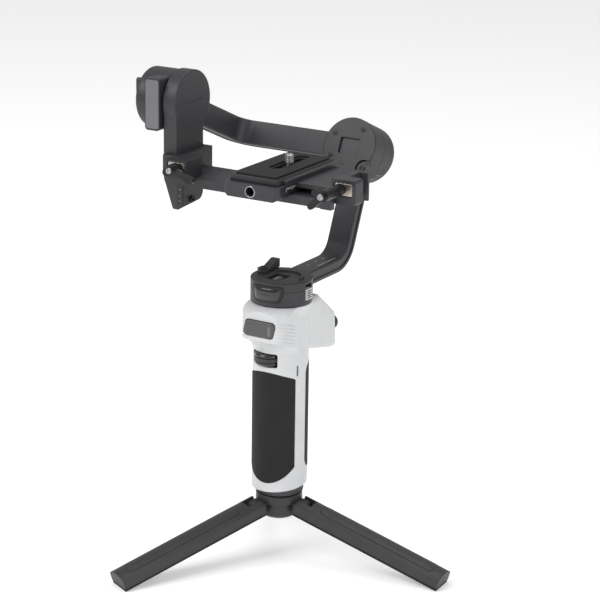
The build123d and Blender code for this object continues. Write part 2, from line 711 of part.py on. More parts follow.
with BuildPart() as pan_rotor:
    with BuildSketch(Plane.XY.offset(SEAT_Z + SEAT_THICK - 2)):
        Circle(SHAFT_R)
    extrude(amount=PAN_LOW - (SEAT_Z + SEAT_THICK - 2))
    with BuildSketch(Plane.XY.offset(SEAT_Z + SEAT_THICK + 1)):
        Circle(BELL_R)
        Circle(STATOR_R + 0.6, mode=Mode.SUBTRACT)
    extrude(amount=PAN_LOW - (SEAT_Z + SEAT_THICK + 1))
    with BuildSketch(Plane.XY.offset(PAN_LOW - 2)):
        Circle(BELL_R)
    extrude(amount=2)
pieces["pan_rotor"] = pan_rotor.part


arm_channel = block(
    -ARM_WIDTH / 2 - SLIP, ARM_WIDTH / 2 + SLIP, ARM_TAIL - ARM_TRAVEL_IN - 1, 40,
    ARM_Z - ARM_THICK / 2 - SLIP, ARM_Z + ARM_THICK / 2 + SLIP,
)


def front_cover_form(outer):
    """The tapered, rounded front panel where it wraps the drum, out to a radius."""
    with BuildPart() as form:
        with BuildSketch(Plane.XZ.offset(MOTOR_R / 2)) as outline:
            with BuildLine():
                Polyline(
                    (-COVER_LEFT, PAN_LOW + COVER_TOP), (COVER_RIGHT, PAN_LOW + COVER_TOP),
                    (COVER_RIGHT, PAN_LOW + COVER_MIDDLE), (COVER_RIGHT - COVER_TAPER, PAN_LOW + COVER_LOW),
                    (COVER_TAPER - COVER_LEFT, PAN_LOW + COVER_LOW), (-COVER_LEFT, PAN_LOW + COVER_MIDDLE),
                    (-COVER_LEFT, PAN_LOW + COVER_TOP),
                )
            make_face()
            fillet(outline.vertices(), 1.6)
        extrude(amount=MOTOR_R)
        with BuildSketch(Plane.XY.offset(PAN_LOW)):
            Circle(outer)
            Circle(MOTOR_R - COVER_DEPTH, mode=Mode.SUBTRACT)
        extrude(amount=20, mode=Mode.INTERSECT)
    return form.part


front_pocket = front_cover_form(2 * MOTOR_R)
lock_window = block(
    MOTOR_R - 3.5, MOTOR_R + 4, LOCK_FRONT - 0.4, LOCK_BACK + 0.4,
    PAN_LOW + LOCK_LOW - 0.4, PAN_LOW + LOCK_TOP + LOCK_TRAVEL + 0.5,
)
with BuildPart() as pan_housing:
    add(ring_tube(MOTOR_R, 0, PAN_LOW, PAN_SEAM - 0.1))
    fillet(pan_housing.faces().sort_by(Axis.Z)[0].edges(), 0.8)
    add(arm_channel, mode=Mode.SUBTRACT)
    add(front_pocket, mode=Mode.SUBTRACT)
    add(lock_window, mode=Mode.SUBTRACT)
    with BuildSketch(Plane.XY.offset(PAN_LOW + 3)):
        with Locations((LEVER_X, LEVER_Y)):
            Circle(2.5 + RUN)
    extrude(amount=20, mode=Mode.SUBTRACT)
pieces["pan_housing"] = pan_housing.part

with BuildPart() as pan_cap:
    add(ring_tube(MOTOR_R, 0, PAN_SEAM + 0.1, PAN_TOP))
    fillet(pan_cap.faces().sort_by(Axis.Z)[-1].edges(), 0.9)
    # A low curved wall keeps the lever apart from the window.
    with BuildSketch(Plane.XY.offset(PAN_TOP - 0.2)):
        with Locations((2, -2)):
            Circle(14.6)
            Circle(12.8, mode=Mode.SUBTRACT)
        with Locations((2, -22)):
            Rectangle(60, 40, mode=Mode.SUBTRACT)
        with Locations((LEVER_X - 14, 0)):
            Rectangle(40, 60, mode=Mode.SUBTRACT)
    extrude(amount=1.3)
    add(arm_channel, mode=Mode.SUBTRACT)
    add(front_pocket, mode=Mode.SUBTRACT)
    add(lock_window, mode=Mode.SUBTRACT)
    # Window over the arm's scale.
    with BuildSketch(Plane.XY.offset(ARM_Z)):
        with Locations((0, -4)):
            RectangleRounded(12, 15, 1.5)
    extrude(amount=20, mode=Mode.SUBTRACT)
    with BuildSketch(Plane.XY.offset(ARM_Z)):
        with Locations((LEVER_X, LEVER_Y)):
            Circle(2.5 + RUN)
    extrude(amount=20, mode=Mode.SUBTRACT)
pieces["pan_cap"] = pan_cap.part

pieces["pan_front_cover"] = front_cover_form(MOTOR_R + COVER_PROUD)

pieces["pan_lock_slider"] = block(
    MOTOR_R - 3.0, MOTOR_R + 0.4, LOCK_FRONT, LOCK_BACK, PAN_LOW + LOCK_LOW, PAN_LOW + LOCK_TOP
)

with BuildPart() as pan_lever:
    with BuildSketch(Plane.XY.offset(PAN_LOW + 3.4)):
        with Locations((LEVER_X, LEVER_Y)):
            Circle(2.5)
    extrude(amount=PAN_TOP + 2 - (PAN_LOW + 3.4))
    lever_low = PAN_TOP + SLIP
    with BuildSketch(Plane.XY.offset(lever_low)):
        with Locations((LEVER_X, LEVER_Y)):
            Circle(4.4)
    extrude(amount=LEVER_THICK)
    # The thumb end climbs from the screw to a tab.
    with BuildSketch(Plane.YZ.offset(LEVER_X)):
        with BuildLine():
            Polyline(
                (LEVER_Y, lever_low), (LEVER_Y + LEVER_REACH, lever_low), (LEVER_Y + LEVER_REACH, lever_low + LEVER_TAB),
                (LEVER_Y + LEVER_REACH - 2.4, lever_low + LEVER_TAB), (LEVER_Y + 4.6, lever_low + LEVER_THICK),
                (LEVER_Y, lever_low + LEVER_THICK), (LEVER_Y, lever_low),
            )
        make_face()
    extrude(amount=LEVER_WIDTH / 2, both=True)
pieces["pan_lever"] = pan_lever.part

# ---------------------------------------------------------------- pan arm
lean = radians(ROLL_LEAN)
forward = Vector(0, -cos(lean), sin(lean))
rise = Vector(0, sin(lean), cos(lean))
roll_centre = Vector(0, 0, TILT_Z) - forward * ROLL_DISTANCE
roll_plane = Plane(origin=roll_centre, x_dir=(1, 0, 0), z_dir=forward)
corner_y = roll_centre.Y - (roll_centre.Z - ARM_Z) * sin(lean) / cos(lean)
arm_top = roll_centre - rise * (ROLL_R - 4)


def arm_section(plane, notch):
    """The arm's cross-section, with a shallow groove along each narrow side."""
    with BuildSketch(plane) as section:
        RectangleRounded(ARM_WIDTH, ARM_THICK, 1.3)
        with Locations((ARM_WIDTH / 2, 0), (-ARM_WIDTH / 2, 0)):
            Rectangle(2 * notch, ARM_THICK * 0.42, mode=Mode.SUBTRACT)
    return section


with BuildPart() as pan_arm:
    with BuildLine(Plane.YZ):
        FilletPolyline((ARM_TAIL, ARM_Z), (corner_y, ARM_Z), (arm_top.Y, arm_top.Z), radius=ARM_BEND)
    tail = Plane(origin=(0, ARM_TAIL, ARM_Z), x_dir=(1, 0, 0), z_dir=(0, 1, 0))
    sweep(sections=arm_section(tail, 0.8).sketch)
    with BuildSketch(roll_plane.offset(-ROLL_RING)):
        Circle(ROLL_R)
    extrude(amount=2 * ROLL_RING)
    with BuildSketch(roll_plane.offset(-ROLL_RING)):
        Circle(ROLL_R - 3)
    extrude(amount=2 * ROLL_RING, mode=Mode.SUBTRACT)
    with BuildSketch(roll_plane.offset(-ROLL_RING)):
        Circle(ROLL_R - 3)
        Circle(SHAFT_R + RUN, mode=Mode.SUBTRACT)
    extrude(amount=2.5)
pieces["pan_arm"] = pan_arm.part

with BuildPart() as roll_rear_cover:
    with BuildSketch(roll_plane.offset(-ROLL_RING - ROLL_COVER)):
        Circle(ROLL_R)
    extrude(amount=ROLL_COVER - 0.1)
    rear_rim = roll_rear_cover.edges().filter_by(GeomType.CIRCLE).sort_by(Axis.Y)[-1]
    fillet(rear_rim, 3.0)
    with BuildSketch(roll_plane.offset(-ROLL_RING - ROLL_COVER + 2)):
        Circle(ROLL_R - 2.5)
    extrude(amount=ROLL_COVER, mode=Mode.SUBTRACT)
pieces["roll_rear_cover"] = roll_rear_cover.part

pieces["roll_stator"] = ring_tube(STATOR_R, SHAFT_R + 1, -ROLL_RING + 2.5, ROLL_RING - 1, roll_plane)

# ---------------------------------------------------------------- roll head and arm
head_low = ROLL_RING + JOINT_GAP
arm_at = head_low + ROLL_HEAD / 2
roll_arm_plane = Plane(origin=roll_centre + forward * arm_at, x_dir=(1, 0, 0), z_dir=rise)
with BuildPart() as roll_channel:
    with BuildSketch(Plane(origin=roll_arm_plane.origin, x_dir=rise, z_dir=(1, 0, 0))):
        Rectangle(ARM_WIDTH + 2 * SLIP, ARM_THICK + 2 * SLIP)
    extrude(amount=ROLL_ARM_TAIL + 5)
    with BuildSketch(Plane(origin=roll_arm_plane.origin, x_dir=rise, z_dir=(-1, 0, 0))):
        Rectangle(ARM_WIDTH + 2 * SLIP, ARM_THICK + 2 * SLIP)
    extrude(amount=ROLL_R + 5)

ROLL_LEVER_AT = (15.0, -14.6)
with BuildPart() as roll_housing:
    with BuildSketch(roll_plane.offset(head_low)):
        Circle(ROLL_R)
        with Locations(ROLL_LEVER_AT):
            Circle(5.0)
    extrude(amount=ROLL_HEAD)
    add(roll_channel.part, mode=Mode.SUBTRACT)
    with BuildSketch(roll_plane.offset(head_low)):
        with Locations(ROLL_LEVER_AT):
            Circle(2.5 + RUN)
    extrude(amount=ROLL_HEAD + 5, mode=Mode.SUBTRACT)
pieces["roll_housing"] = roll_housing.part

with BuildPart() as roll_cap:
    with BuildSketch(roll_plane.offset(head_low + ROLL_HEAD)):
        Circle(ROLL_R)
    extrude(amount=ROLL_CAP)
    fillet(roll_cap.edges().filter_by(GeomType.CIRCLE).sort_by(Axis.Y)[0], 1.0)
    with BuildSketch(roll_plane.offset(head_low)):
        with Locations((0, 0)):
            RectangleRounded(16, 12, 1.5)
        with Locations(ROLL_LEVER_AT):
            Circle(6.4)
    extrude(amount=ROLL_HEAD + 5, mode=Mode.SUBTRACT)
pieces["roll_cap"] = roll_cap.part

with BuildPart() as roll_rotor:
    with BuildSketch(roll_plane.offset(-ROLL_RING + 0.3)):
        Circle(SHAFT_R)
    extrude(amount=head_low + ROLL_RING - 0.3)
    with BuildSketch(roll_plane.offset(-ROLL_RING + 3.0)):
        Circle(BELL_R)
        Circle(STATOR_R + 0.6, mode=Mode.SUBTRACT)
    extrude(amount=head_low + ROLL_RING - 3.0)
    with BuildSketch(roll_plane.offset(ROLL_RING - 0.6)):
        Circle(BELL_R)
    extrude(amount=JOINT_GAP + 0.6)
pieces["roll_rotor"] = roll_rotor.part

lever_front = head_low + ROLL_HEAD + SLIP
with BuildPart() as roll_lever:
    with BuildSketch(roll_plane.offset(head_low + 1)):
        with Locations(ROLL_LEVER_AT):
            Circle(2.5)
    extrude(amount=ROLL_HEAD + SLIP)
    with BuildSketch(roll_plane.offset(lever_front)):
        with Locations(ROLL_LEVER_AT):
            Circle(4.2)
        with Locations((ROLL_LEVER_AT[0] + 8, ROLL_LEVER_AT[1])):
            RectangleRounded(18, 6.0, 1.6)
    extrude(amount=3.0)
pieces["roll_lever"] = roll_lever.part

arm_run = ROLL_DISTANCE - arm_at - (TILT_R - 2)
with BuildPart() as roll_arm:
    with BuildLine(roll_arm_plane):
        FilletPolyline((ROLL_ARM_TAIL, 0), (ROLL_ARM_X, 0), (ROLL_ARM_X, -arm_run), radius=ROLL_ARM_BEND)
    start = roll_arm_plane.from_local_coords(Vector(ROLL_ARM_TAIL, 0, 0))
    tail = Plane(origin=start, x_dir=rise, z_dir=(-1, 0, 0))
    sweep(sections=arm_section(tail, 0.8).sketch)
    # The arm's end follows the round of the tilt housing.
    with BuildSketch(Plane.YZ.offset(TILT_OUT - 5)):
        with Locations((0, TILT_Z)):
            Circle(TILT_R)
    extrude(amount=60, mode=Mode.SUBTRACT)
pieces["roll_arm"] = roll_arm.part

# ---------------------------------------------------------------- tilt motor and lamp
with BuildPart() as tilt_housing:
    with BuildSketch(Plane.YZ.offset(TILT_OUT)):
        with Locations((0, TILT_Z)):
            Circle(TILT_R)
    extrude(amount=TILT_IN - TILT_OUT)
    fillet(tilt_housing.faces().sort_by(Axis.X)[0].edges(), 3.5)
    add(
        front_slab(
            TILT_IN - LAMP_OUT, 2 * LAMP_HALF, 2.5, (TILT_IN + LAMP_OUT) / 2, TILT_Z, LAMP_FRONT, -8
        )
    )
    with BuildSketch(Plane.YZ.offset(TILT_OUT + 3)):
        with Locations((0, TILT_Z)):
            Circle(TILT_R - 4)
    extrude(amount=40, mode=Mode.SUBTRACT)
    add(
        front_slab(
            TILT_IN - LAMP_OUT - 1.2 + 2 * SEAT, 2 * LAMP_HALF - 2.4 + 2 * SEAT, 2.0,
            (TILT_IN + LAMP_OUT) / 2, TILT_Z, LAMP_FRONT - 3, LAMP_FRONT + 1.6
        ),
        mode=Mode.SUBTRACT,
    )
    # A small ridge for the thumb at the outer end.
    with BuildSketch(Plane.YZ.offset(TILT_OUT - 2.6)):
        with Locations((-12, TILT_Z + 9)):
            RectangleRounded(4.5, 11, 1.8)
    extrude(amount=4)
pieces["tilt_housing"] = tilt_housing.part

with BuildPart() as light_panel:
    add(
        front_slab(
            TILT_IN - LAMP_OUT - 1.2, 2 * LAMP_HALF - 2.4, 2.0,
            (TILT_IN + LAMP_OUT) / 2, TILT_Z, LAMP_FRONT - 0.3, LAMP_FRONT + 1.6
        )
    )
    fillet(light_panel.faces().sort_by(Axis.Y)[0].edges(), 0.3)
pieces["light_panel"] = light_panel.part

with BuildPart() as tilt_stator:
    with BuildSketch(Plane.YZ.offset(TILT_OUT + 3)):
        with Locations((0, TILT_Z)):
            Circle(STATOR_R)
            Circle(SHAFT_R + RUN, mode=Mode.SUBTRACT)
    extrude(amount=14)
pieces["tilt_stator"] = tilt_stator.part

with BuildPart() as tilt_rotor:
    with BuildSketch(Plane.YZ.offset(TILT_OUT + 4)):
        with Locations((0, TILT_Z)):
            Circle(SHAFT_R)
    extrude(amount=DISC_OUT - TILT_OUT - 4)
    with BuildSketch(Plane.YZ.offset(TILT_OUT + 4)):
        with Locations((0, TILT_Z)):
            Circle(BELL_R)
            Circle(STATOR_R + 0.6, mode=Mode.SUBTRACT)
    extrude(amount=DISC_OUT - TILT_OUT - 4)
    with BuildSketch(Plane.YZ.offset(TILT_OUT + 18)):
        with Locations((0, TILT_Z)):
            Circle(BELL_R)
    extrude(amount=DISC_OUT - TILT_OUT - 18)
pieces["tilt_rotor"] = tilt_rotor.part

with BuildPart() as tilt_plate:
    with BuildSketch(Plane.YZ.offset(DISC_OUT)):
        with Locations((0, TILT_Z)):
            Circle(DISC_R)
    extrude(amount=DISC_IN - DISC_OUT)
    fillet(tilt_plate.faces().sort_by(Axis.X)[-1].edges(), 1.0)
    with BuildSketch(Plane.YZ.offset(DISC_OUT)):
        with BuildLine():
            Polyline(
                (PLATE_FRONT, TILT_Z), (PLATE_FRONT, PLATE_BOTTOM), (PLATE_BACK, PLATE_BOTTOM + 2.5),
                (PLATE_BACK, TILT_Z), (PLATE_FRONT, TILT_Z),
            )
        make_face()
    extrude(amount=PLATE_IN - DISC_OUT)
    lower_back = tilt_plate.edges().filter_by(Axis.X).sort_by(Axis.Z)[:2].sort_by(Axis.Y)
    fillet(lower_back[-1], 6.0)
    fillet(lower_back[0], 2.0)
    # The outer side tapers in towards the bottom.
    with BuildSketch(Plane.XZ.offset(-40)):
        with BuildLine():
            Polyline(
                (DISC_OUT, PLATE_TOP_TAPER), (DISC_OUT + 8.0, PLATE_BOTTOM - 1), (DISC_OUT - 3, PLATE_BOTTOM - 1),
                (DISC_OUT, PLATE_TOP_TAPER),
            )
        make_face()
    extrude(amount=80, mode=Mode.SUBTRACT)
pieces["tilt_plate"] = tilt_plate.part

with BuildPart() as stop_screw:
    with BuildSketch(Plane.YZ.offset(PLATE_IN)):
        with Locations((-2.5, PLATE_BOTTOM + 4.5)):
            Circle(2.4)
            RegularPolygon(1.3, 6, mode=Mode.SUBTRACT)
    extrude(amount=1.5)
pieces["plate_stop_screw"] = stop_screw.part

# ---------------------------------------------------------------- cross bar with the two clamps
guide_in = PLATE_IN + SLIP
right_jaw_x = RIGHT_SCREW_X + RIGHT_JAW_SHIFT
wing_right = right_jaw_x - JAW_WIDTH / 2 - SLIP
with BuildPart() as cross_bar:
    add(block(guide_in, BAR_RIGHT, BAR_FRONT, BAR_BACK, BAR_LOW, BAR_TOP))
    add(block(BAR_RIGHT, LIP_RIGHT, BAR_FRONT, BAR_FRONT + 4.6, BAR_LOW - 0.5, BAR_TOP + 1.0))
    # Upright guide that wraps the front and back edges of the tilt plate.
    add(block(guide_in, guide_in + 4.5, PLATE_FRONT - 4.4, PLATE_BACK + 4.4, BAR_LOW, CLAMP_TOP))
    for hook_y0, hook_y1 in (
        (PLATE_FRONT - 4.4, PLATE_FRONT - SLIP),
        (PLATE_BACK + SLIP, PLATE_BACK + 4.4),
    ):
        add(block(DISC_OUT + 2.2, guide_in + 4.5, hook_y0, hook_y1, BAR_TOP, CLAMP_TOP))
    # Clamp body round the left jaw.
    add(block(guide_in, CLAMP_LEFT_IN, CLAMP_FRONT, BAR_FRONT + 12, BAR_TOP - 2, CLAMP_TOP))
    add(
        front_slab(
            JAW_WIDTH + 2 * SEAT, JAW_HEIGHT + 2 * SEAT, 1.0, LEFT_SCREW_X, LEFT_SCREW_Z,
            CLAMP_FRONT - 1, CLAMP_FRONT + JAW_DEPTH + 0.5
        ),
        mode=Mode.SUBTRACT,
    )
pieces["cross_bar"] = cross_bar.part

with BuildPart() as right_bracket:
    add(block(BAR_RIGHT, BRACKET_LEFT, BRACKET_FRONT, BAR_BACK, BAR_LOW + 1.5, BAR_TOP))
    add(
        front_slab(
            BRACKET_RIGHT - BRACKET_LEFT, BRACKET_TOP - BRACKET_LOW, 2.0, (BRACKET_LEFT + BRACKET_RIGHT) / 2,
            (BRACKET_LOW + BRACKET_TOP) / 2, BRACKET_FRONT, BRACKET_FRONT + BRACKET_DEPTH
        )
    )
    add(block(BRACKET_LEFT, BRACKET_LEFT + 4.5, BRACKET_FRONT + 5, BAR_BACK, BAR_LOW + 1.5, BRACKET_TOP - 1.5))
    add(block(BRACKET_LEFT, 61.5, BAR_BACK - 2.0, BAR_BACK, BAR_LOW - 0.5, BRACKET_TOP - 1.5))
    # Slot that the carriage's wing slides in, and the mouth of the jaw.
    add(
        block(BRACKET_LEFT - 1, wing_right + SLIP, -60, 60, BASE_TOP - WING_THICK - SLIP, BASE_TOP + SLIP),
        mode=Mode.SUBTRACT,
    )
    add(
        front_slab(
            JAW_WIDTH + 2 * SEAT, JAW_HEIGHT + 2 * SEAT, 1.0, right_jaw_x, RIGHT_SCREW_Z,
            BRACKET_FRONT - 1, BRACKET_FRONT + BRACKET_DEPTH - 2
        ),
        mode=Mode.SUBTRACT,
    )
pieces["right_bracket"] = right_bracket.part


def clamp_jaw(x, z, screw_x, front, depth):
    """Plated wedge with rounded corners and a hole for its screw."""
    with BuildPart() as jaw:
        add(front_slab(JAW_WIDTH, JAW_HEIGHT, 1.2, x, z, front, front + depth))
        fillet(jaw.faces().sort_by(Axis.Y)[0].edges(), 0.5)
        with BuildSketch(Plane.XZ.offset(-front - depth)):
            with Locations((screw_x, z)):
                Circle(2.0 + RUN)
        extrude(amount=depth, mode=Mode.SUBTRACT)
    return jaw.part


def clamp_lever(x, z, shaft_back, shaft_front, bar_front, tip, lobe):
    """Lever on a stub shaft, with its screw running back into the jaw."""
    with BuildPart() as lever:
        with BuildSketch(Plane.XZ.offset(-shaft_back)):
            with Locations((x, z)):
                Circle(2.0)
        extrude(amount=shaft_back - shaft_front)
        with BuildSketch(Plane.XZ.offset(-shaft_front)):
            with Locations((x, z)):
                Circle(LEVER_SHAFT_R)
        extrude(amount=shaft_front - bar_front)
        with BuildSketch(Plane.XZ.offset(-bar_front - 3.2)):
            for at in (lobe, tip, (x, z)):
                with Locations(at):
                    Circle(2.7 if at != tip else 2.2)
        extrude(amount=3.2)
        for end in (lobe, tip):
            with BuildSketch(Plane.XZ.offset(-bar_front - 3.2)):
                with BuildLine():
                    across = Vector(end[0] - x, end[1] - z).normalized().rotate(Axis.Z, 90) * 2.2
                    Polyline(
                        (x + across.X, z + across.Y), (end[0] + across.X, end[1] + across.Y),
                        (end[0] - across.X, end[1] - across.Y), (x - across.X, z - across.Y),
                        (x + across.X, z + across.Y),
                    )
                make_face()
            extrude(amount=3.2)
    return lever.part


pieces["left_jaw"] = clamp_jaw(LEFT_SCREW_X, LEFT_SCREW_Z, LEFT_SCREW_X, CLAMP_FRONT + 0.4, JAW_DEPTH - 0.4)
pieces["right_jaw"] = clamp_jaw(
    right_jaw_x, RIGHT_SCREW_Z, RIGHT_SCREW_X, BRACKET_FRONT + 0.4, BRACKET_DEPTH - 2.6
)
pieces["left_lever"] = clamp_lever(
    LEFT_SCREW_X, LEFT_SCREW_Z, CLAMP_FRONT + 6, CLAMP_FRONT - 0.2, CLAMP_FRONT - 5.0, (-48.0, 272.5), (-67.8, 275.8)
)
pieces["right_lever"] = clamp_lever(
    RIGHT_SCREW_X, RIGHT_SCREW_Z, BRACKET_FRONT + 6, BRACKET_FRONT - 0.2, BRACKET_FRONT - 22.0, (47.5, 269.3),
    (51.0, 279.0)
)

# ---------------------------------------------------------------- carriage
with BuildPart() as carriage:
    add(block(-BASE_HALF, BASE_HALF, BASE_FRONT, BASE_BACK, BASE_LOW, BASE_TOP, 4.0))
    add(block(-BASE_HALF, BASE_HALF, BASE_FRONT, BOSS_BACK, BOSS_LOW, BASE_TOP, 5.0))
    for side in (-1, 1):
        with BuildSketch(Plane.XZ.offset(-60)):
            with BuildLine():
                Polyline(
                    (side * (BASE_HALF + 1), BOSS_LOW - 1), (side * (BASE_HALF + 1), BOSS_LOW + 3),
                    (side * (BASE_HALF - 6), BOSS_LOW - 1), (side * (BASE_HALF + 1), BOSS_LOW - 1),
                )
            make_face()
        extrude(amount=120, mode=Mode.SUBTRACT)
    add(block(BASE_HALF - 4, wing_right, WING_FRONT, WING_BACK, BASE_TOP - WING_THICK, BASE_TOP))
    with BuildSketch(Plane.XZ.offset(-BASE_FRONT)):
        with Locations((0, (BOSS_LOW + BASE_TOP) / 2)):
            Circle(BOSS_HOLE_R)
    extrude(amount=-BOSS_HOLE_DEPTH, mode=Mode.SUBTRACT)
pieces["carriage"] = carriage.part

# Two undercut rails hold the top plate down.
with BuildPart() as plate_rails:
    for side in (-1, 1):
        with BuildSketch(Plane.XZ.offset(-TOP_PLATE_BACK)):
            inner = TOP_PLATE_HALF + SLIP * (1 + DOVETAIL)
            with BuildLine():
                Polyline(
                    (side * BASE_HALF, BASE_TOP), (side * BASE_HALF, BASE_TOP + RAIL_HEIGHT),
                    (side * (inner - DOVETAIL * RAIL_HEIGHT), BASE_TOP + RAIL_HEIGHT),
                    (side * inner, BASE_TOP), (side * BASE_HALF, BASE_TOP),
                )
            make_face()
        extrude(amount=TOP_PLATE_BACK - TOP_PLATE_FRONT - 6)
pieces["plate_rails"] = plate_rails.part

plate_low = BASE_TOP + SLIP
plate_top_half = TOP_PLATE_HALF - DOVETAIL * TOP_PLATE_THICK
with BuildPart() as top_plate:
    with BuildSketch(Plane.XZ.offset(-TOP_PLATE_BACK)):
        with BuildLine():
            Polyline(
                (-TOP_PLATE_HALF, plate_low), (TOP_PLATE_HALF, plate_low),
                (plate_top_half, plate_low + TOP_PLATE_THICK), (-plate_top_half, plate_low + TOP_PLATE_THICK),
                (-TOP_PLATE_HALF, plate_low),
            )
        make_face()
    extrude(amount=TOP_PLATE_BACK - TOP_PLATE_FRONT)
    with BuildSketch(Plane.XY.offset(plate_low)):
        with Locations((0, CAMERA_SCREW_Y)):
            SlotOverall(40, 2 * SCREW_R + 0.6, rotation=90)
    extrude(amount=20, mode=Mode.SUBTRACT)
    with BuildSketch(Plane.XY.offset(plate_low)):
        with Locations((0, CAMERA_SCREW_Y)):
            SlotOverall(46, 2 * SCREW_HEAD_R - 2, rotation=90)
    extrude(amount=2.4, mode=Mode.SUBTRACT)
pieces["top_plate"] = top_plate.part

pad_low = plate_low + TOP_PLATE_THICK
with BuildPart() as plate_pad:
    with BuildSketch(Plane.XY.offset(pad_low)):
        with Locations((0, (TOP_PLATE_FRONT + TOP_PLATE_BACK) / 2)):
            RectangleRounded(2 * plate_top_half - 2.4, TOP_PLATE_BACK - TOP_PLATE_FRONT - 3, 2.0)
        with Locations((0, CAMERA_SCREW_Y)):
            SlotOverall(44, 2 * SCREW_R + 3, rotation=90, mode=Mode.SUBTRACT)
    extrude(amount=PAD_THICK)
pieces["plate_pad"] = plate_pad.part

with BuildPart() as camera_screw:
    with BuildSketch(Plane.XY.offset(plate_low + 0.2)):
        with Locations((0, CAMERA_SCREW_Y)):
            Circle(SCREW_HEAD_R - 1.4)
    extrude(amount=SCREW_KNOB_THICK)
    with BuildSketch(Plane.XY.offset(plate_low + 0.2)):
        with Locations((0, CAMERA_SCREW_Y)):
            Circle(SCREW_SHANK_R)
    extrude(amount=TOP_PLATE_THICK + PAD_THICK)
    with BuildSketch(Plane.XY.offset(plate_low + TOP_PLATE_THICK + PAD_THICK + 0.2)):
        with Locations((0, CAMERA_SCREW_Y)):
            Circle(SCREW_R)
    extrude(amount=CAMERA_SCREW_RISE - 0.2)
    chamfer(camera_screw.edges().group_by(Axis.Z)[-1], 0.5)
pieces["camera_screw"] = camera_screw.part

# ---------------------------------------------------------------- write every piece
for name, piece in pieces.items():
    piece.label = name
    export_step(piece, f"parts/{name}.step")
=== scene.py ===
"""Looks of a handheld three-axis camera stabiliser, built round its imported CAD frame.

Lengths are metres inside Blender, and the sizes given as fields are millimetres, as a maker
would write them. +Z is up, -Y is the front and the tilt motor is on the -X side.
"""

import logging
import math
from dataclasses import dataclass
from enum import Enum
from typing import Callable, Optional, Sequence

import bpy
import numpy as np
from mathutils import Matrix, Vector


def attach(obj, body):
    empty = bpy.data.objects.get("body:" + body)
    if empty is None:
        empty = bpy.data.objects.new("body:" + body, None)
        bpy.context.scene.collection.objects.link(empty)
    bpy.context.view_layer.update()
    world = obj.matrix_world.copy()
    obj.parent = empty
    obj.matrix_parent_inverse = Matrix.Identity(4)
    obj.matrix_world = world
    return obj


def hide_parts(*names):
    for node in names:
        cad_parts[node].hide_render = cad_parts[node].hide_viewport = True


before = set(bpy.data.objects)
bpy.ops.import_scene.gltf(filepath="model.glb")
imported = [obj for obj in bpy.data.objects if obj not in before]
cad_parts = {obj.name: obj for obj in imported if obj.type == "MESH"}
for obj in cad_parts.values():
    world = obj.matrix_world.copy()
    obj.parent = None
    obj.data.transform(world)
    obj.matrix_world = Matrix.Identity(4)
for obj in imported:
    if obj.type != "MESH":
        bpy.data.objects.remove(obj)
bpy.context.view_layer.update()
MM = 0.001
log = logging.getLogger("gimbal")


# ----------------------------------------------------------------------------- colour and nodes
def srgb(hex_code: str) -> tuple[float, float, float, float]:
    """Turn an sRGB hex colour into linear RGBA.

    Args:
        hex_code: Six hex digits, with or without a leading hash.

    Returns:
        Linear red, green, blue and an alpha of one.
    """
    digits = hex_code.lstrip("#")
    parts = (int(digits[i : i + 2], 16) / 255 for i in (0, 2, 4))
    linear = (c / 12.92 if c <= 0.04045 else ((c + 0.055) / 1.055) ** 2.4 for c in parts)
    return (*linear, 1.0)


def add_node(tree: bpy.types.NodeTree, kind: str, links: Optional[dict] = None, **settings) -> bpy.types.Node:
    """Add one node with its settings and its incoming links.

    Args:
        tree: The node tree that the node goes into.
        kind: The node's type name.
        links: Input name or number to an output socket or to a plain value.
        settings: Attributes of the node itself.

    Returns:
        The new node.
    """
    node = tree.nodes.new(kind)
    for name, value in settings.items():
        setattr(node, name, value)
    for key, source in (links or {}).items():
        if isinstance(source, bpy.types.NodeSocket):
            tree.links.new(source, node.inputs[key])
        else:
            node.inputs[key].default_value = source
    return node


class Surface(Enum):
    """How a finish's surface was made, which sets the pattern of its bump."""

    SPARKED = "spark-eroded mould texture"
    BLASTED = "bead-blasted and anodised"
    POLISHED = "polished mould"
    TURNED = "turned on a lathe"
    SKIN = "soft rubber skin"


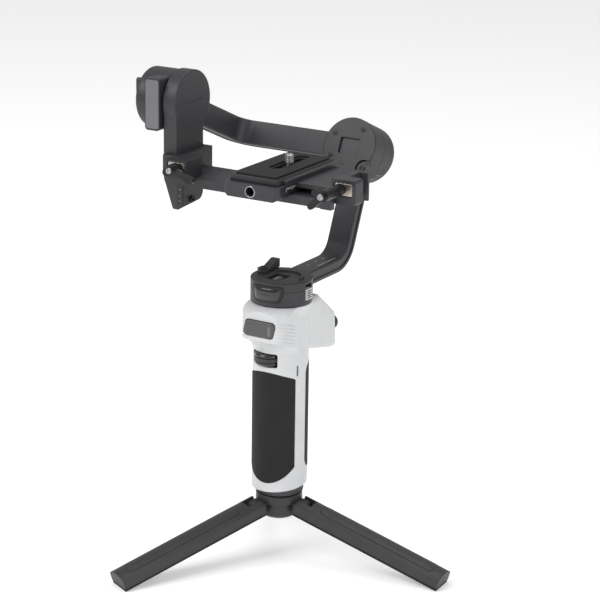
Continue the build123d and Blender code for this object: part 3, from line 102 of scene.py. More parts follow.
@dataclass(frozen=True)
class Finish:
    """One finish: a named material with its colour, gloss and the grain of its surface."""

    name: str
    colour: str
    shade: str
    surface: Surface
    roughness: float
    grain_mm: float
    bump: float = 0.15
    metallic: float = 0.0
    ior: float = 1.5
    coat: float = 0.0
    roughness_spread: float = 0.08
    mottle: float = 0.5
    edge_mm: float = 0.35

    def build(self) -> bpy.types.Material:
        """Build the Blender material.

        Returns:
            A material whose colour, roughness and bump come from object coordinates.
        """
        material = bpy.data.materials.new(self.name)
        material.use_nodes = True
        tree = material.node_tree
        tree.nodes.clear()
        place = add_node(tree, "ShaderNodeTexCoord").outputs["Object"]
        # Turning leaves rings round the axis, so its grain is drawn out across it.
        stretch = (0.3, 0.3, 1.0) if self.surface is Surface.TURNED else (1.0, 1.0, 1.0)
        mapped = add_node(tree, "ShaderNodeMapping", {"Vector": place, "Scale": stretch}).outputs["Vector"]
        grain = add_node(
            tree, "ShaderNodeTexNoise",
            {"Vector": mapped, "Scale": 1 / (self.grain_mm * MM), "Detail": 3.0, "Roughness": 0.6},
        )
        # Handling and moulding leave slow changes of shade, a couple of centimetres across.
        cloud = add_node(tree, "ShaderNodeTexNoise", {"Vector": place, "Scale": 1 / (18 * MM), "Detail": 2.0})
        blend_amount = add_node(
            tree, "ShaderNodeMapRange",
            {"Value": cloud.outputs["Fac"], "From Min": 0.35, "From Max": 0.68, "To Min": 0.0, "To Max": self.mottle},
        )
        colour = add_node(
            tree, "ShaderNodeMix",
            {"Factor": blend_amount.outputs["Result"], 6: srgb(self.colour), 7: srgb(self.shade)},
            data_type="RGBA",
        )
        # Painted shade and a little dust darken the grain's hollows, and its crests come out slightly paler.
        dust_and_shade = add_node(
            tree, "ShaderNodeMapRange",
            {"Value": grain.outputs["Fac"], "From Min": 0.3, "From Max": 0.7, "To Min": 0.9, "To Max": 1.08},
        )
        final = add_node(
            tree, "ShaderNodeMix",
            {"Factor": 1.0, 6: colour.outputs[2], 7: dust_and_shade.outputs["Result"]},
            data_type="RGBA", blend_type="MULTIPLY",
        )
        rough = add_node(
            tree, "ShaderNodeMapRange",
            {
                "Value": grain.outputs["Fac"], "From Min": 0.25, "From Max": 0.75,
                "To Min": self.roughness - self.roughness_spread, "To Max": self.roughness + self.roughness_spread,
            },
        )
        edge = add_node(tree, "ShaderNodeBevel", {"Radius": self.edge_mm * MM}, samples=4)
        bump = add_node(
            tree, "ShaderNodeBump",
            {
                "Height": grain.outputs["Fac"], "Strength": self.bump, "Distance": self.grain_mm * MM * 0.25,
                "Normal": edge.outputs["Normal"],
            },
        )
        shader = add_node(
            tree, "ShaderNodeBsdfPrincipled",
            {
                "Base Color": final.outputs[2], "Roughness": rough.outputs["Result"],
                "Normal": bump.outputs["Normal"],
                "Metallic": self.metallic, "IOR": self.ior, "Coat Weight": self.coat, "Coat Roughness": 0.08,
            },
        )
        add_node(tree, "ShaderNodeOutputMaterial", {"Surface": shader.outputs["BSDF"]})
        return material


FINISHES = {
    # ABS shell, satin from the mould's fine spark texture.
    "shell": Finish("light_grey_abs", "#d2d3d4", "#c6c7c9", Surface.SPARKED, 0.42, 0.35, bump=0.10, edge_mm=0.5),
    # Overmoulded rubber: nearly black, soft sheen, fine skin.
    "rubber": Finish("black_overmoulded_rubber", "#171718", "#1f1f20", Surface.SKIN, 0.66, 0.5, bump=0.35, ior=1.38),
    # Glass-filled nylon of the tripod and covers.
    "nylon": Finish("charcoal_glass_filled_nylon", "#2a2a2c", "#333335", Surface.SPARKED, 0.48, 0.45, bump=0.22),
    # Bead-blasted, hard-anodised aluminium: an even dark grey with a low sheen.
    "anodised": Finish(
        "dark_bead_blasted_aluminium", "#37373a", "#3f3f43", Surface.BLASTED, 0.44, 0.30, bump=0.18, metallic=0.35,
        edge_mm=0.45,
    ),
    "trigger": Finish(
        "grey_trigger_plastic", "#4b4a4b", "#545354", Surface.SPARKED, 0.42, 0.4, bump=0.15, edge_mm=0.6
    ),
    "gloss": Finish(
        "gloss_black_polycarbonate", "#0c0c0e", "#111113", Surface.POLISHED, 0.16, 1.2, bump=0.02, coat=0.6,
        roughness_spread=0.03, mottle=0.2,
    ),
    "diffuser": Finish(
        "smoked_diffuser_acrylic", "#66666a", "#6e6e73", Surface.POLISHED, 0.38, 0.6, bump=0.04, coat=0.15,
        mottle=0.4,
    ),
    "slider": Finish("white_nylon_slider", "#c9c9c9", "#bdbdbd", Surface.SPARKED, 0.5, 0.35, bump=0.12),
    # Warm nickel plate over a cast wedge.
    "nickel": Finish(
        "satin_nickel_plate", "#b9b2a6", "#a39c92", Surface.BLASTED, 0.30, 0.5, bump=0.10, metallic=1.0, mottle=0.8
    ),
    "black_steel": Finish(
        "black_oxide_steel", "#2a2a2b", "#37373a", Surface.BLASTED, 0.38, 0.35, bump=0.12, metallic=0.7
    ),
    "steel": Finish(
        "turned_stainless_steel", "#a9abae", "#95979b", Surface.TURNED, 0.28, 0.25, bump=0.08, metallic=1.0
    ),
    "ring": Finish(
        "knurled_dark_aluminium", "#4d4d50", "#58585c", Surface.TURNED, 0.42, 0.3, bump=0.12, metallic=0.6
    ),
    "iron": Finish("laminated_motor_iron", "#6b6660", "#5c5751", Surface.TURNED, 0.45, 0.4, bump=0.2, metallic=0.8),
    "wrap": Finish("blue_cell_wrap", "#1f5f96", "#1a548a", Surface.POLISHED, 0.3, 0.8, bump=0.05, coat=0.3),
    "board": Finish("green_solder_mask", "#16523a", "#1c5f44", Surface.POLISHED, 0.35, 0.4, bump=0.12, coat=0.3),
    "print": Finish("white_pad_print", "#dcdcdc", "#cfcfcf", Surface.SPARKED, 0.55, 0.3, bump=0.05, edge_mm=0.05),
    # Dark ink for printed marks, also used as painted shade round the legs' panels and on the pan motor's front
    # cover.
    "dark_print_and_shadow": Finish("dark_ink_and_painted_shadow", "#18181a", "#202022", Surface.SPARKED, 0.6, 0.3, bump=0.05, edge_mm=0.05),
}

NODE_FINISH = {
    "shell": ("handle_front_shell", "handle_rear_shell"),
    "rubber": ("front_grip_pad", "rear_grip_strip", "leg_1_sole", "leg_2_sole", "leg_3_sole", "plate_pad"),
    "nylon": (
        "tripod_hub", "leg_1", "leg_2", "leg_3", "joystick_cradle", "joystick_cap", "pan_lever", "roll_lever",
        "pan_cap", "roll_rear_cover", "roll_cap", "mode_button", "record_button",
    ),
    "anodised": (
        "pan_housing", "pan_arm", "roll_housing", "roll_arm", "tilt_housing", "tilt_plate", "cross_bar",
        "right_bracket", "carriage", "plate_rails", "top_plate",
    ),
    "trigger": ("trigger",),
    "gloss": ("scroll_dial", "control_panel", "display_window"),
    # The pan motor's front cover shows only as a rim round its pane, and its dark ink stands for the shadowed gap
    # there: painted shade.
    "dark_print_and_shadow": ("pan_front_cover",),
    "diffuser": ("light_panel", "status_light"),
    "slider": ("pan_lock_slider",),
    "nickel": ("left_jaw", "right_jaw"),
    "black_steel": ("left_lever", "right_lever", "plate_stop_screw", "inner_frame"),
    "steel": ("tripod_screw", "camera_screw", "leg_hinge_pins", "pan_bearings", "thread_insert"),
    "ring": ("knurled_ring",),
    "iron": ("pan_stator", "roll_stator", "tilt_stator", "pan_rotor", "roll_rotor", "tilt_rotor"),
    "wrap": ("battery_cells",),
    "board": ("main_board",),
}


class Paint:
    """Builds each finish once and dresses nodes and pieces with it."""

    def __init__(self) -> None:
        """Start with no material built."""
        self.made: dict[str, bpy.types.Material] = {}

    def get(self, key: str) -> bpy.types.Material:
        """Return a finish's material, building it the first time."""
        if key not in self.made:
            self.made[key] = FINISHES[key].build()
        return self.made[key]

    def dress(self, obj: bpy.types.Object, key: str) -> None:
        """Give an object one finish all over."""
        obj.data.materials.clear()
        obj.data.materials.append(self.get(key))

    def dress_frame(self) -> None:
        """Give every CAD node its finish."""
        for key, names in NODE_FINISH.items():
            for name in names:
                self.dress(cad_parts[name], key)
        log.info("dressed %d CAD nodes", sum(len(names) for names in NODE_FINISH.values()))


PAINT = Paint()


# ----------------------------------------------------------------------------- studio
@dataclass
class Studio:
    """Pale floor, soft lights and the camera."""

    camera_distance: float = 1478.8
    camera_height: float = 638.8
    camera_azimuth: float = 31.213
    camera_yaw: float = -0.496
    camera_pitch: float = 17.003
    camera_roll: float = 0.848
    lens: float = 134.65
    floor_half: float = 6000.0
    floor_glow: float = 0.32
    surround: float = 0.5
    backdrop: float = 0.96
    aim_height: float = 0.18

    def build_camera(self) -> None:
        """Place the camera by its distance, height and direction."""
        turn = math.radians(self.camera_azimuth)
        place = Vector((math.sin(turn), -math.cos(turn), 0)) * self.camera_distance
        place.z = self.camera_height
        heading = math.radians(self.camera_azimuth + self.camera_yaw)
        pitch = math.radians(self.camera_pitch)
        roll = math.radians(self.camera_roll)
        look = Vector((-math.sin(heading) * math.cos(pitch), math.cos(heading) * math.cos(pitch), -math.sin(pitch)))
        level = look.cross(Vector((0, 0, 1))).normalized()
        upright = level.cross(look)
        right = level * math.cos(roll) + upright * math.sin(roll)
        up = upright * math.cos(roll) - level * math.sin(roll)
        data = bpy.data.cameras.new("camera")
        data.lens = self.lens
        data.sensor_width = 36.0
        data.clip_end = 50.0
        camera = bpy.data.objects.new("camera", data)
        camera.matrix_world = Matrix.Translation(place * MM) @ Matrix((right, up, -look)).transposed().to_4x4()
        bpy.context.scene.collection.objects.link(camera)
        bpy.context.scene.camera = camera

    def build_floor(self) -> None:
        """Lay a large pale floor under the tripod."""
        half = self.floor_half * MM
        mesh = bpy.data.meshes.new("floor")
        mesh.from_pydata([(-half, -half, 0), (half, -half, 0), (half, half, 0), (-half, half, 0)], [], [(0, 1, 2, 3)])
        floor = bpy.data.objects.new("floor", mesh)
        bpy.context.scene.collection.objects.link(floor)
        material = bpy.data.materials.new("studio_floor")
        material.use_nodes = True
        shader = material.node_tree.nodes["Principled BSDF"]
        shader.inputs["Base Color"].default_value = srgb("#f4f4f4")
        shader.inputs["Roughness"].default_value = 0.65
        shader.inputs["Emission Color"].default_value = srgb("#ffffff")
        shader.inputs["Emission Strength"].default_value = self.floor_glow
        mesh.materials.append(material)

    def build_light(self, name: str, place: Sequence[float], size: float, watts: float) -> None:
        """Add one soft lamp that looks at the middle of the object.

        Args:
            name: The lamp's name.
            place: Its position in metres.
            size: The side of its square in metres.
            watts: Its power.
        """
        data = bpy.data.lights.new(name, "AREA")
        data.size = size
        data.energy = watts
        lamp = bpy.data.objects.new(name, data)
        at = Vector(place)
        aim = (Vector((0, 0, self.aim_height)) - at).to_track_quat("-Z", "Y")
        lamp.matrix_world = Matrix.Translation(at) @ aim.to_matrix().to_4x4()
        bpy.context.scene.collection.objects.link(lamp)

    def build(self) -> None:
        """Build the camera, the floor, the lamps and the pale surroundings."""
        self.build_camera()
        self.build_floor()
        self.build_light("key", (-0.7, -1.2, 1.5), 1.1, 19)
        self.build_light("fill", (1.7, -0.5, 0.7), 1.3, 7)
        self.build_light("top", (0.1, 0.4, 1.8), 1.3, 9)
        world = bpy.data.worlds.new("studio")
        world.use_nodes = True
        tree = world.node_tree
        sky = tree.nodes["Background"]
        sky.inputs["Color"].default_value = srgb("#ffffff")
        # The camera sees a white sweep, and the object is lit by a dimmer one.
        ray = add_node(tree, "ShaderNodeLightPath").outputs["Is Camera Ray"]
        strength = add_node(
            tree, "ShaderNodeMapRange", {"Value": ray, "To Min": self.surround, "To Max": self.backdrop}
        )
        tree.links.new(strength.outputs["Result"], sky.inputs["Strength"])
        bpy.context.scene.world = world
        bpy.context.scene.view_settings.view_transform = "Standard"
        log.info("studio built")


# ----------------------------------------------------------------------------- outlines and skins
Outline = Callable[[float], np.ndarray]
CRISP_ANGLE = 32.0


@dataclass(frozen=True)
class Seat:
    """A place on the object in millimetres: an origin, and right-handed across, up and out directions."""

    origin: Sequence[float]
    across: Sequence[float]
    up: Sequence[float]

    def out(self) -> np.ndarray:
        """The outward direction, square to across and up."""
        return np.cross(self.across, self.up)

    def place(self, points: np.ndarray) -> np.ndarray:
        """Carry local points to the object.

        Args:
            points: Array whose last axis holds across, up and out.

        Returns:
            The same points in the object's frame.
        """
        basis = np.stack([np.asarray(self.across, float), np.asarray(self.up, float), self.out()])
        return np.asarray(self.origin, float) + points @ basis


def circle(radius: float, count: int = 48) -> Outline:
    """Outline of a circle whose radius falls by the inset: r = radius - inset."""
    turn = np.arange(count) * 2 * np.pi / count
    return lambda inset: (radius - inset) * np.stack([np.cos(turn), np.sin(turn)], -1)


def toothed(radius: float, depth: float, teeth: int, per_tooth: int = 8) -> Outline:
    """Outline of a knurl: the radius dips by depth with a rounded wave, once per tooth."""
    turn = np.arange(teeth * per_tooth) * 2 * np.pi / (teeth * per_tooth)
    wave = depth * (1 - np.abs(np.cos(turn * teeth / 2)) ** 0.7)
    return lambda inset: (radius - inset - wave)[:, None] * np.stack([np.cos(turn), np.sin(turn)], -1)


def hexagon(across_flats: float, count: int = 48) -> Outline:
    """Outline of a hexagon: the radius is the half width over the cosine of the turn from the nearest flat."""
    turn = np.arange(count) * 2 * np.pi / count
    flat = (turn + np.pi / 6) % (np.pi / 3) - np.pi / 6
    direction = np.stack([np.cos(turn), np.sin(turn)], -1)
    return lambda inset: ((across_flats / 2 - inset) / np.cos(flat))[:, None] * direction


def rounded_rectangle(width: float, height: float, corner: float, per_corner: int = 6) -> Outline:
    """Outline of a rounded rectangle: a quarter circle about each corner's centre, in turn."""

    def outline(inset: float) -> np.ndarray:
        """The outline drawn in by an inset, its corners never sharper than a tenth of a millimetre."""
        r = max(corner - inset, 0.1)
        half = np.array([width / 2 - inset - r, height / 2 - inset - r]).clip(0.01)
        start = np.arange(4) * np.pi / 2
        turn = start[:, None] + np.linspace(0, np.pi / 2, per_corner)[None, :]
        centre = np.array([[1, 1], [-1, 1], [-1, -1], [1, -1]]) * half
        return (centre[:, None, :] + r * np.stack([np.cos(turn), np.sin(turn)], -1)).reshape(-1, 2)

    return outline


def layer(outline: Outline, levels: Sequence[tuple[float, float]]) -> np.ndarray:
    """Stack an outline at several heights.

    Args:
        outline: Function of the inset that gives the outline's points.
        levels: Pairs of height and inset, from the lowest up.

    Returns:
        Rings of points, levels by points by three.
    """
    return np.stack([np.column_stack([outline(inset), np.full(len(outline(inset)), z)]) for z, inset in levels])


def slab_levels(low: float, high: float, edge: float, steps: int = 4) -> list[tuple[float, float]]:
    """Heights and insets of a slab whose top edge is a quarter round of the given radius."""
    turn = np.linspace(0, np.pi / 2, steps + 1)
    return [(low, 0.0)] + [(high - edge + edge * math.sin(t), edge * (1 - math.cos(t))) for t in turn]


class Maker:
    """Turns arrays of points into pieces that ride on a body."""

    @staticmethod
    def skin(
        name: str, rings: np.ndarray, finish: str, body: str, tube: bool = False, angle: float = CRISP_ANGLE
    ) -> bpy.types.Object:
        """Join rings of points into one closed skin.

        Neighbouring rings are joined by quads. A tube joins its last ring to its first, and
        otherwise each end is closed by one flat face.

        Args:
            name: The piece's name.
            rings: Array of rings by points by three, in millimetres, anticlockwise seen from the far end.
            finish: Key of its finish.
            body: The body that it rides on.
            tube: Whether the rings close on themselves.
            angle: Edges sharper than this many degrees stay crisp.

        Returns:
            The finished piece.
        """
        count, points = rings.shape[:2]
        index = np.arange(count * points).reshape(count, points)
        low = index if tube else index[:-1]
        high = np.roll(index, -1, axis=0) if tube else index[1:]
        quads = np.stack([low, np.roll(low, -1, axis=1), np.roll(high, -1, axis=1), high], -1)
        faces = quads.reshape(-1, 4).tolist()
        if not tube:
            faces += [index[0][::-1].tolist(), index[-1].tolist()]
        return Maker.mesh(name, rings.reshape(-1, 3), faces, finish, body, angle)

    @staticmethod
    def mesh(
        name: str, points: np.ndarray, faces: list, finish: str, body: str, angle: float = CRISP_ANGLE
    ) -> bpy.types.Object:
        """Make one piece from points in millimetres and faces, dress it and seat it on its body.

        Args:
            name: The piece's name.
            points: Array of points by three.
            faces: Lists of point numbers.
            finish: Key of its finish.
            body: The body that it rides on.
            angle: Edges sharper than this many degrees stay crisp.

        Returns:
            The finished piece.
        """
        data = bpy.data.meshes.new(name)
        data.from_pydata((points * MM).tolist(), [], faces)
        data.polygons.foreach_set("use_smooth", np.ones(len(data.polygons), bool))
        data.set_sharp_from_angle(angle=math.radians(angle))
        data.update()
        obj = bpy.data.objects.new(name, data)
        bpy.context.scene.collection.objects.link(obj)
        PAINT.dress(obj, finish)
        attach(obj, body)
        log.info("made %s: %d faces on %s", name, len(faces), body)
        return obj

    @staticmethod
    def group(
        name: str, parts: Sequence[np.ndarray], finish: str, body: str, angle: float = CRISP_ANGLE
    ) -> bpy.types.Object:
        """Make one piece from several separate closed skins of rings.

        Args:
            name: The piece's name.
            parts: One array of rings for each skin.
            finish: Key of its finish.
            body: The body that it rides on.
            angle: Edges sharper than this many degrees stay crisp.

        Returns:
            The finished piece.
        """
        points, faces, start = [], [], 0
        for rings in parts:
            count, width = rings.shape[:2]
            index = start + np.arange(count * width).reshape(count, width)
            low, high = index[:-1], index[1:]
            quads = np.stack([low, np.roll(low, -1, axis=1), np.roll(high, -1, axis=1), high], -1)
            faces += quads.reshape(-1, 4).tolist() + [index[0][::-1].tolist(), index[-1].tolist()]
            points.append(rings.reshape(-1, 3))
            start += count * width
        return Maker.mesh(name, np.concatenate(points), faces, finish, body, angle)


def bar(
    seat: Seat, width: float, height: float, at: tuple[float, float], low: float, high: float, corner: float,
    edge: float,
) -> np.ndarray:
    """Rings of a small rounded bar on a seat.

    Args:
        seat: Where it stands.
        width: Its size across.
        height: Its size up.
        at: Its centre, across and up.
        low: Where it starts, outwards.
        high: Where it ends, outwards.
        corner: Radius of its outline's corners.
        edge: Radius of its outer edge.

    Returns:
        Rings in the object's frame.
    """
    rings = layer(rounded_rectangle(width, height, corner, 4), slab_levels(low, high, edge, 2))
    rings[..., 0] += at[0]
    rings[..., 1] += at[1]
    return seat.place(rings)


def mark(
    seat: Seat, width: float, height: float, at: tuple[float, float], corner: float = 0.1, proud: float = 0.06,
    sunk: float = 0.1,
) -> np.ndarray:
    """Rings of one printed mark, a thin bar that stands just proud of its surface.

    Args:
        seat: Where it stands.
        width: Its size across.
        height: Its size up.
        at: Its centre, across and up.
        corner: Radius of its outline's corners.
        proud: How far it stands out.
        sunk: How far it reaches in.

    Returns:
        Rings in the object's frame.
    """
    return bar(seat, width, height, at, -sunk, proud, corner, 0.03)


def socket_screw(seat: Seat, radius: float, height: float, at: tuple[float, float] = (0.0, 0.0)) -> np.ndarray:
    """Rings of a round screw head with a hexagonal socket.

    The wall rises at the full radius, rolls over a rounded edge, runs flat to the hexagon and
    goes down its flats to the socket's floor.

    Args:
        seat: Where it stands.
        radius: The head's radius.
        height: The head's height.
        at: Its centre, across and up.

    Returns:
        Rings in the object's frame.
    """
    wall = layer(circle(radius), slab_levels(-0.3, height, min(0.35, height * 0.5), 3))
    socket = layer(hexagon(radius * 0.95), [(height, 0.0), (height * 0.35, 0.02)])
    rings = np.concatenate([wall, socket])
    rings[..., 0] += at[0]
    rings[..., 1] += at[1]
    return seat.place(rings)


# ----------------------------------------------------------------------------- tripod
@dataclass
class Tripod:
    """Raised panels on the legs' crowns, dark bands of painted shade round them, and the knurled sleeve of the lock
    ring.
    """

    pivot_r: float = 19.5
    pivot_z: float = 37.0
    leg_length: float = 114.0
    under: float = 4.9
    crown: float = 6.4
    shoulder: float = 3.3
    half_width: float = 10.0
    azimuth: float = 3.0
    panel_from: float = 15.0
    panel_to: float = 106.0
    panel_width: float = 12.4
    panel_corner: float = 3.2
    panel_height: float = 0.5
    panel_edge: float = 0.3
    sunk: float = 0.6
    # Width and height of the dark band round each panel: painted shade for the groove there.
    shadow_gap_width: float = 0.55
    shadow_gap_height: float = 0.05
    ring_r: float = 16.8
    sleeve_r: float = 17.12
    sleeve_low: float = 47.9
    sleeve_high: float = 55.6
    sleeve_teeth: int = 96
    sleeve_edge: tuple[float, float] = (0.3, 0.25)

    def leg_seat(self, angle: float) -> Seat:
        """Seat at a leg's hinge, with across along the leg and out square to its top.

        Args:
            angle: The leg's azimuth in degrees.

        Returns:
            The seat.
        """
        reach = math.hypot(self.leg_length, self.under)
        slope = math.asin(self.pivot_z / reach) - math.atan2(self.under, self.leg_length)
        turn = math.radians(angle)
        flat = np.array([math.cos(turn), math.sin(turn), 0.0])
        along = flat * math.cos(slope) - np.array([0, 0, math.sin(slope)])
        side = np.array([-math.sin(turn), math.cos(turn), 0.0])
        return Seat(flat * self.pivot_r + np.array([0, 0, self.pivot_z]), along, side)

    def crowned(self, rings: np.ndarray) -> np.ndarray:
        """Lay flat rings on the leg's crown, which is an arc across the leg.

        The arc's radius comes from its width and rise, and each point rises by the arc's
        height at its distance from the middle.

        Args:
            rings: Points with along, across and height above the crown.

        Returns:
            The same points with their real height above the hinge line.
        """
        rise = self.crown - self.shoulder
        radius = (self.half_width**2 + rise**2) / (2 * rise)
        laid = rings.copy()
        laid[..., 2] += self.crown - radius + np.sqrt(radius**2 - rings[..., 1] ** 2)
        return laid

    def build(self) -> None:
        """Build the panels of the three legs, the painted shadow band round each, and the sleeve."""
        length = self.panel_to - self.panel_from
        middle = (self.panel_to + self.panel_from) / 2
        fill = [(self.panel_height, inset) for inset in np.linspace(0.9, self.panel_width / 2 - 0.15, 7)]
        for number in range(3):
            seat = self.leg_seat(self.azimuth + 120 * number)
            body = f"leg_{number + 1}"
            panel = rounded_rectangle(length, self.panel_width, self.panel_corner, 8)
            rings = layer(panel, slab_levels(-self.sunk, self.panel_height, self.panel_edge) + fill)
            rings[..., 0] += middle
            Maker.skin(f"{body}_raised_panel", seat.place(self.crowned(rings)), "nylon", body)
            # A thin dark ink band round each panel, just above the crown, stands for the shadow in the groove round
            # the panel: painted shade.
            grow = 2 * self.shadow_gap_width
            outer = rounded_rectangle(length + grow, self.panel_width + grow, self.panel_corner + self.shadow_gap_width, 8)
            shade = [(self.shadow_gap_height, inset) for inset in np.linspace(0.6, self.panel_width / 2, 6)]
            rings = layer(outer, [(-self.sunk, 0.0), (self.shadow_gap_height, 0.0)] + shade)
            rings[..., 0] += middle
            Maker.skin(f"{body}_panel_painted_shadow_gap", seat.place(self.crowned(rings)), "dark_print_and_shadow", body)
        teeth = toothed(self.sleeve_r, 0.3, self.sleeve_teeth)
        rise, inset = self.sleeve_edge
        low, high = self.sleeve_low, self.sleeve_high
        wall = layer(teeth, [(low, inset), (low + rise, 0), (high - rise, 0), (high, inset)])
        bore = layer(circle(self.ring_r - 0.3, wall.shape[1]), [(high, 0), (low, 0)])
        Maker.skin("lock_ring_knurl", np.concatenate([wall, bore]), "ring", "lock_ring", tube=True, angle=50)


# ----------------------------------------------------------------------------- handle
@dataclass
class Handle:
    """Thumb ridges round the head's corners, the trigger's insert, the ribbed dial and the joystick's rim."""

    head_half: float = 18.8
    head_front: float = 27.4
    corner: float = 10.0
    ridge_low: float = 165.4
    ridge_step: float = 2.5
    ridge_count: int = 6
    ridge_end: float = -11.5
    ridge_from: float = 24.0
    ridge_drop: float = 4.5
    ridge_rise: float = 0.34
    ridge_half_width: float = 0.48
    ridge_sunk: float = 0.02
    dial_x: float = -2.2
    dial_y: float = -12.4
    dial_z: float = 148.0
    dial_r: float = 10.0
    dial_half: float = 4.5
    dial_teeth: int = 60
    dial_tooth_depth: float = 0.35
    dial_profile: tuple[tuple[float, float], ...] = ((0.0, 1.6), (0.9, 0.5), (1.5, 0.25), (2.4, 0.3), (2.8, 0.9))
    dial_band: float = 3.1
    axle_r: float = 1.62
    trigger_front: float = -28.4
    trigger_z: float = 172.4
    insert_x: float = 7.6
    insert_width: float = 2.2
    insert_height: float = 7.4
    panel_y: float = 50.5
    panel_z: float = 154.6
    panel_lean: float = 4.145
    stick: tuple[float, float] = (-8.0, 3.6)
    stick_top: float = 5.4
    stick_r: float = 6.0
    rim_in: float = 0.9
    rim_bore: float = 2.2
    rim_notch: float = 0.16
    rim_teeth: int = 28

    def ridge(self, side: int, height: float) -> np.ndarray:
        """Rings of one thumb ridge, which follows the head's rounded corner and then its side.

        The path is the arc of the corner from a quarter of the way round to the side, then a
        straight run back, and it falls towards the back. Across it the ridge is a half ellipse
        that fades out at both ends.

        Args:
            side: 1 for the right corner, -1 for the left.
            height: The ridge's height on the head.

        Returns:
            Rings in the object's frame.
        """
        turn = np.radians(np.linspace(self.ridge_from, 90, 18))
        centre = np.array([self.head_half - self.corner, self.corner - self.head_front])
        arc_out = np.stack([np.sin(turn), -np.cos(turn)], -1)
        run = np.linspace(centre[1], self.ridge_end, 8)[1:]
        straight = np.stack([np.full(len(run), self.head_half), run], -1)
        path = np.concatenate([centre + arc_out * self.corner, straight])
        out = np.concatenate([arc_out, np.tile([1.0, 0.0], (len(run), 1))])
        fade = np.clip(np.minimum(np.arange(len(path)), np.arange(len(path))[::-1]) / 2.5, 0.12, 1.0)
        round_ = np.arange(12) * 2 * np.pi / 12
        lift = (self.ridge_rise * np.sin(round_))[None, :] * fade[:, None] - self.ridge_sunk
        rise = (self.ridge_half_width * np.cos(round_))[None, :] * np.sqrt(fade)[:, None]
        flat = path[:, None, :] + out[:, None, :] * lift[..., None]
        fall = (self.ridge_drop * np.linspace(0, 1, len(path)) ** 1.5)[:, None]
        rings = np.concatenate([flat * np.array([side, 1.0]), (height + rise - fall)[..., None]], -1)
        return rings if side < 0 else rings[:, ::-1]

    def build_ridges(self) -> None:
        """Thin ridges for the thumb on each corner of the head."""
        for side, name in ((1, "right_thumb_ridges"), (-1, "left_thumb_ridges")):
            ridges = [self.ridge(side, self.ridge_low + self.ridge_step * i) for i in range(self.ridge_count)]
            Maker.group(name, ridges, "shell", "stand", angle=60)

    def build_stick(self) -> None:
        """A raised, finely notched rim round the joystick's dished top."""
        lean = math.radians(self.panel_lean)
        out = np.array([0.0, math.cos(lean), math.sin(lean)])
        up = np.array([0.0, -math.sin(lean), math.cos(lean)])
        origin = np.array([0.0, self.panel_y, self.panel_z]) + out * self.stick_top
        seat = Seat(origin, (-1, 0, 0), up)
        outline = toothed(self.stick_r - self.rim_in, self.rim_notch, self.rim_teeth)
        inner = circle(self.stick_r - self.rim_bore, self.rim_teeth * 8)
        rings = np.concatenate([
            layer(outline, [(-0.3, 0.0), (0.25, 0.0), (0.42, 0.25)]),
            layer(inner, [(0.42, -0.4), (0.2, 0.0), (-0.3, 0.0)]),
        ])
        rings[..., 0] += self.stick[0]
        rings[..., 1] += self.stick[1]
        Maker.skin("joystick_rim", seat.place(rings), "rubber", "joystick_cap", tube=True, angle=45)

    def build_trigger(self) -> None:
        """A paler upright insert near the trigger's right end."""
        seat = Seat((self.insert_x, self.trigger_front, self.trigger_z), (1, 0, 0), (0, 0, 1))
        insert = bar(seat, self.insert_width, self.insert_height, (0, 0), -0.6, 0.25, 0.9, 0.2)
        Maker.group("trigger_insert", [insert], "diffuser", "trigger")

    def build_dial(self) -> None:
        """The dial: a lathe-turned barrel with two grooves and a finely ribbed middle band.

        Its profile gives each level's distance from the nearer end and its inset.
        """
        half = self.dial_half
        teeth = toothed(self.dial_r, self.dial_tooth_depth, self.dial_teeth)
        plain = circle(self.dial_r, self.dial_teeth * 8)
        bore = circle(self.axle_r, self.dial_teeth * 8)
        rings = np.concatenate([
            layer(bore, [(half, 0), (-half, 0)]),
            layer(plain, [(-half + rise, inset) for rise, inset in self.dial_profile]),
            layer(teeth, [(-half + self.dial_band, 0.0), (half - self.dial_band, 0.0)]),
            layer(plain, [(half - rise, inset) for rise, inset in reversed(self.dial_profile)]),
        ])
        seat = Seat((self.dial_x, self.dial_y, self.dial_z), (1, 0, 0), (0, 1, 0))
        dial = Maker.skin("ribbed_dial", seat.place(rings), "gloss", "dial", tube=True, angle=45)
        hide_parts("scroll_dial")

    def build(self) -> None:
        """Build the handle's added pieces."""
        self.build_ridges()
        self.build_trigger()
        self.build_dial()
        self.build_stick()


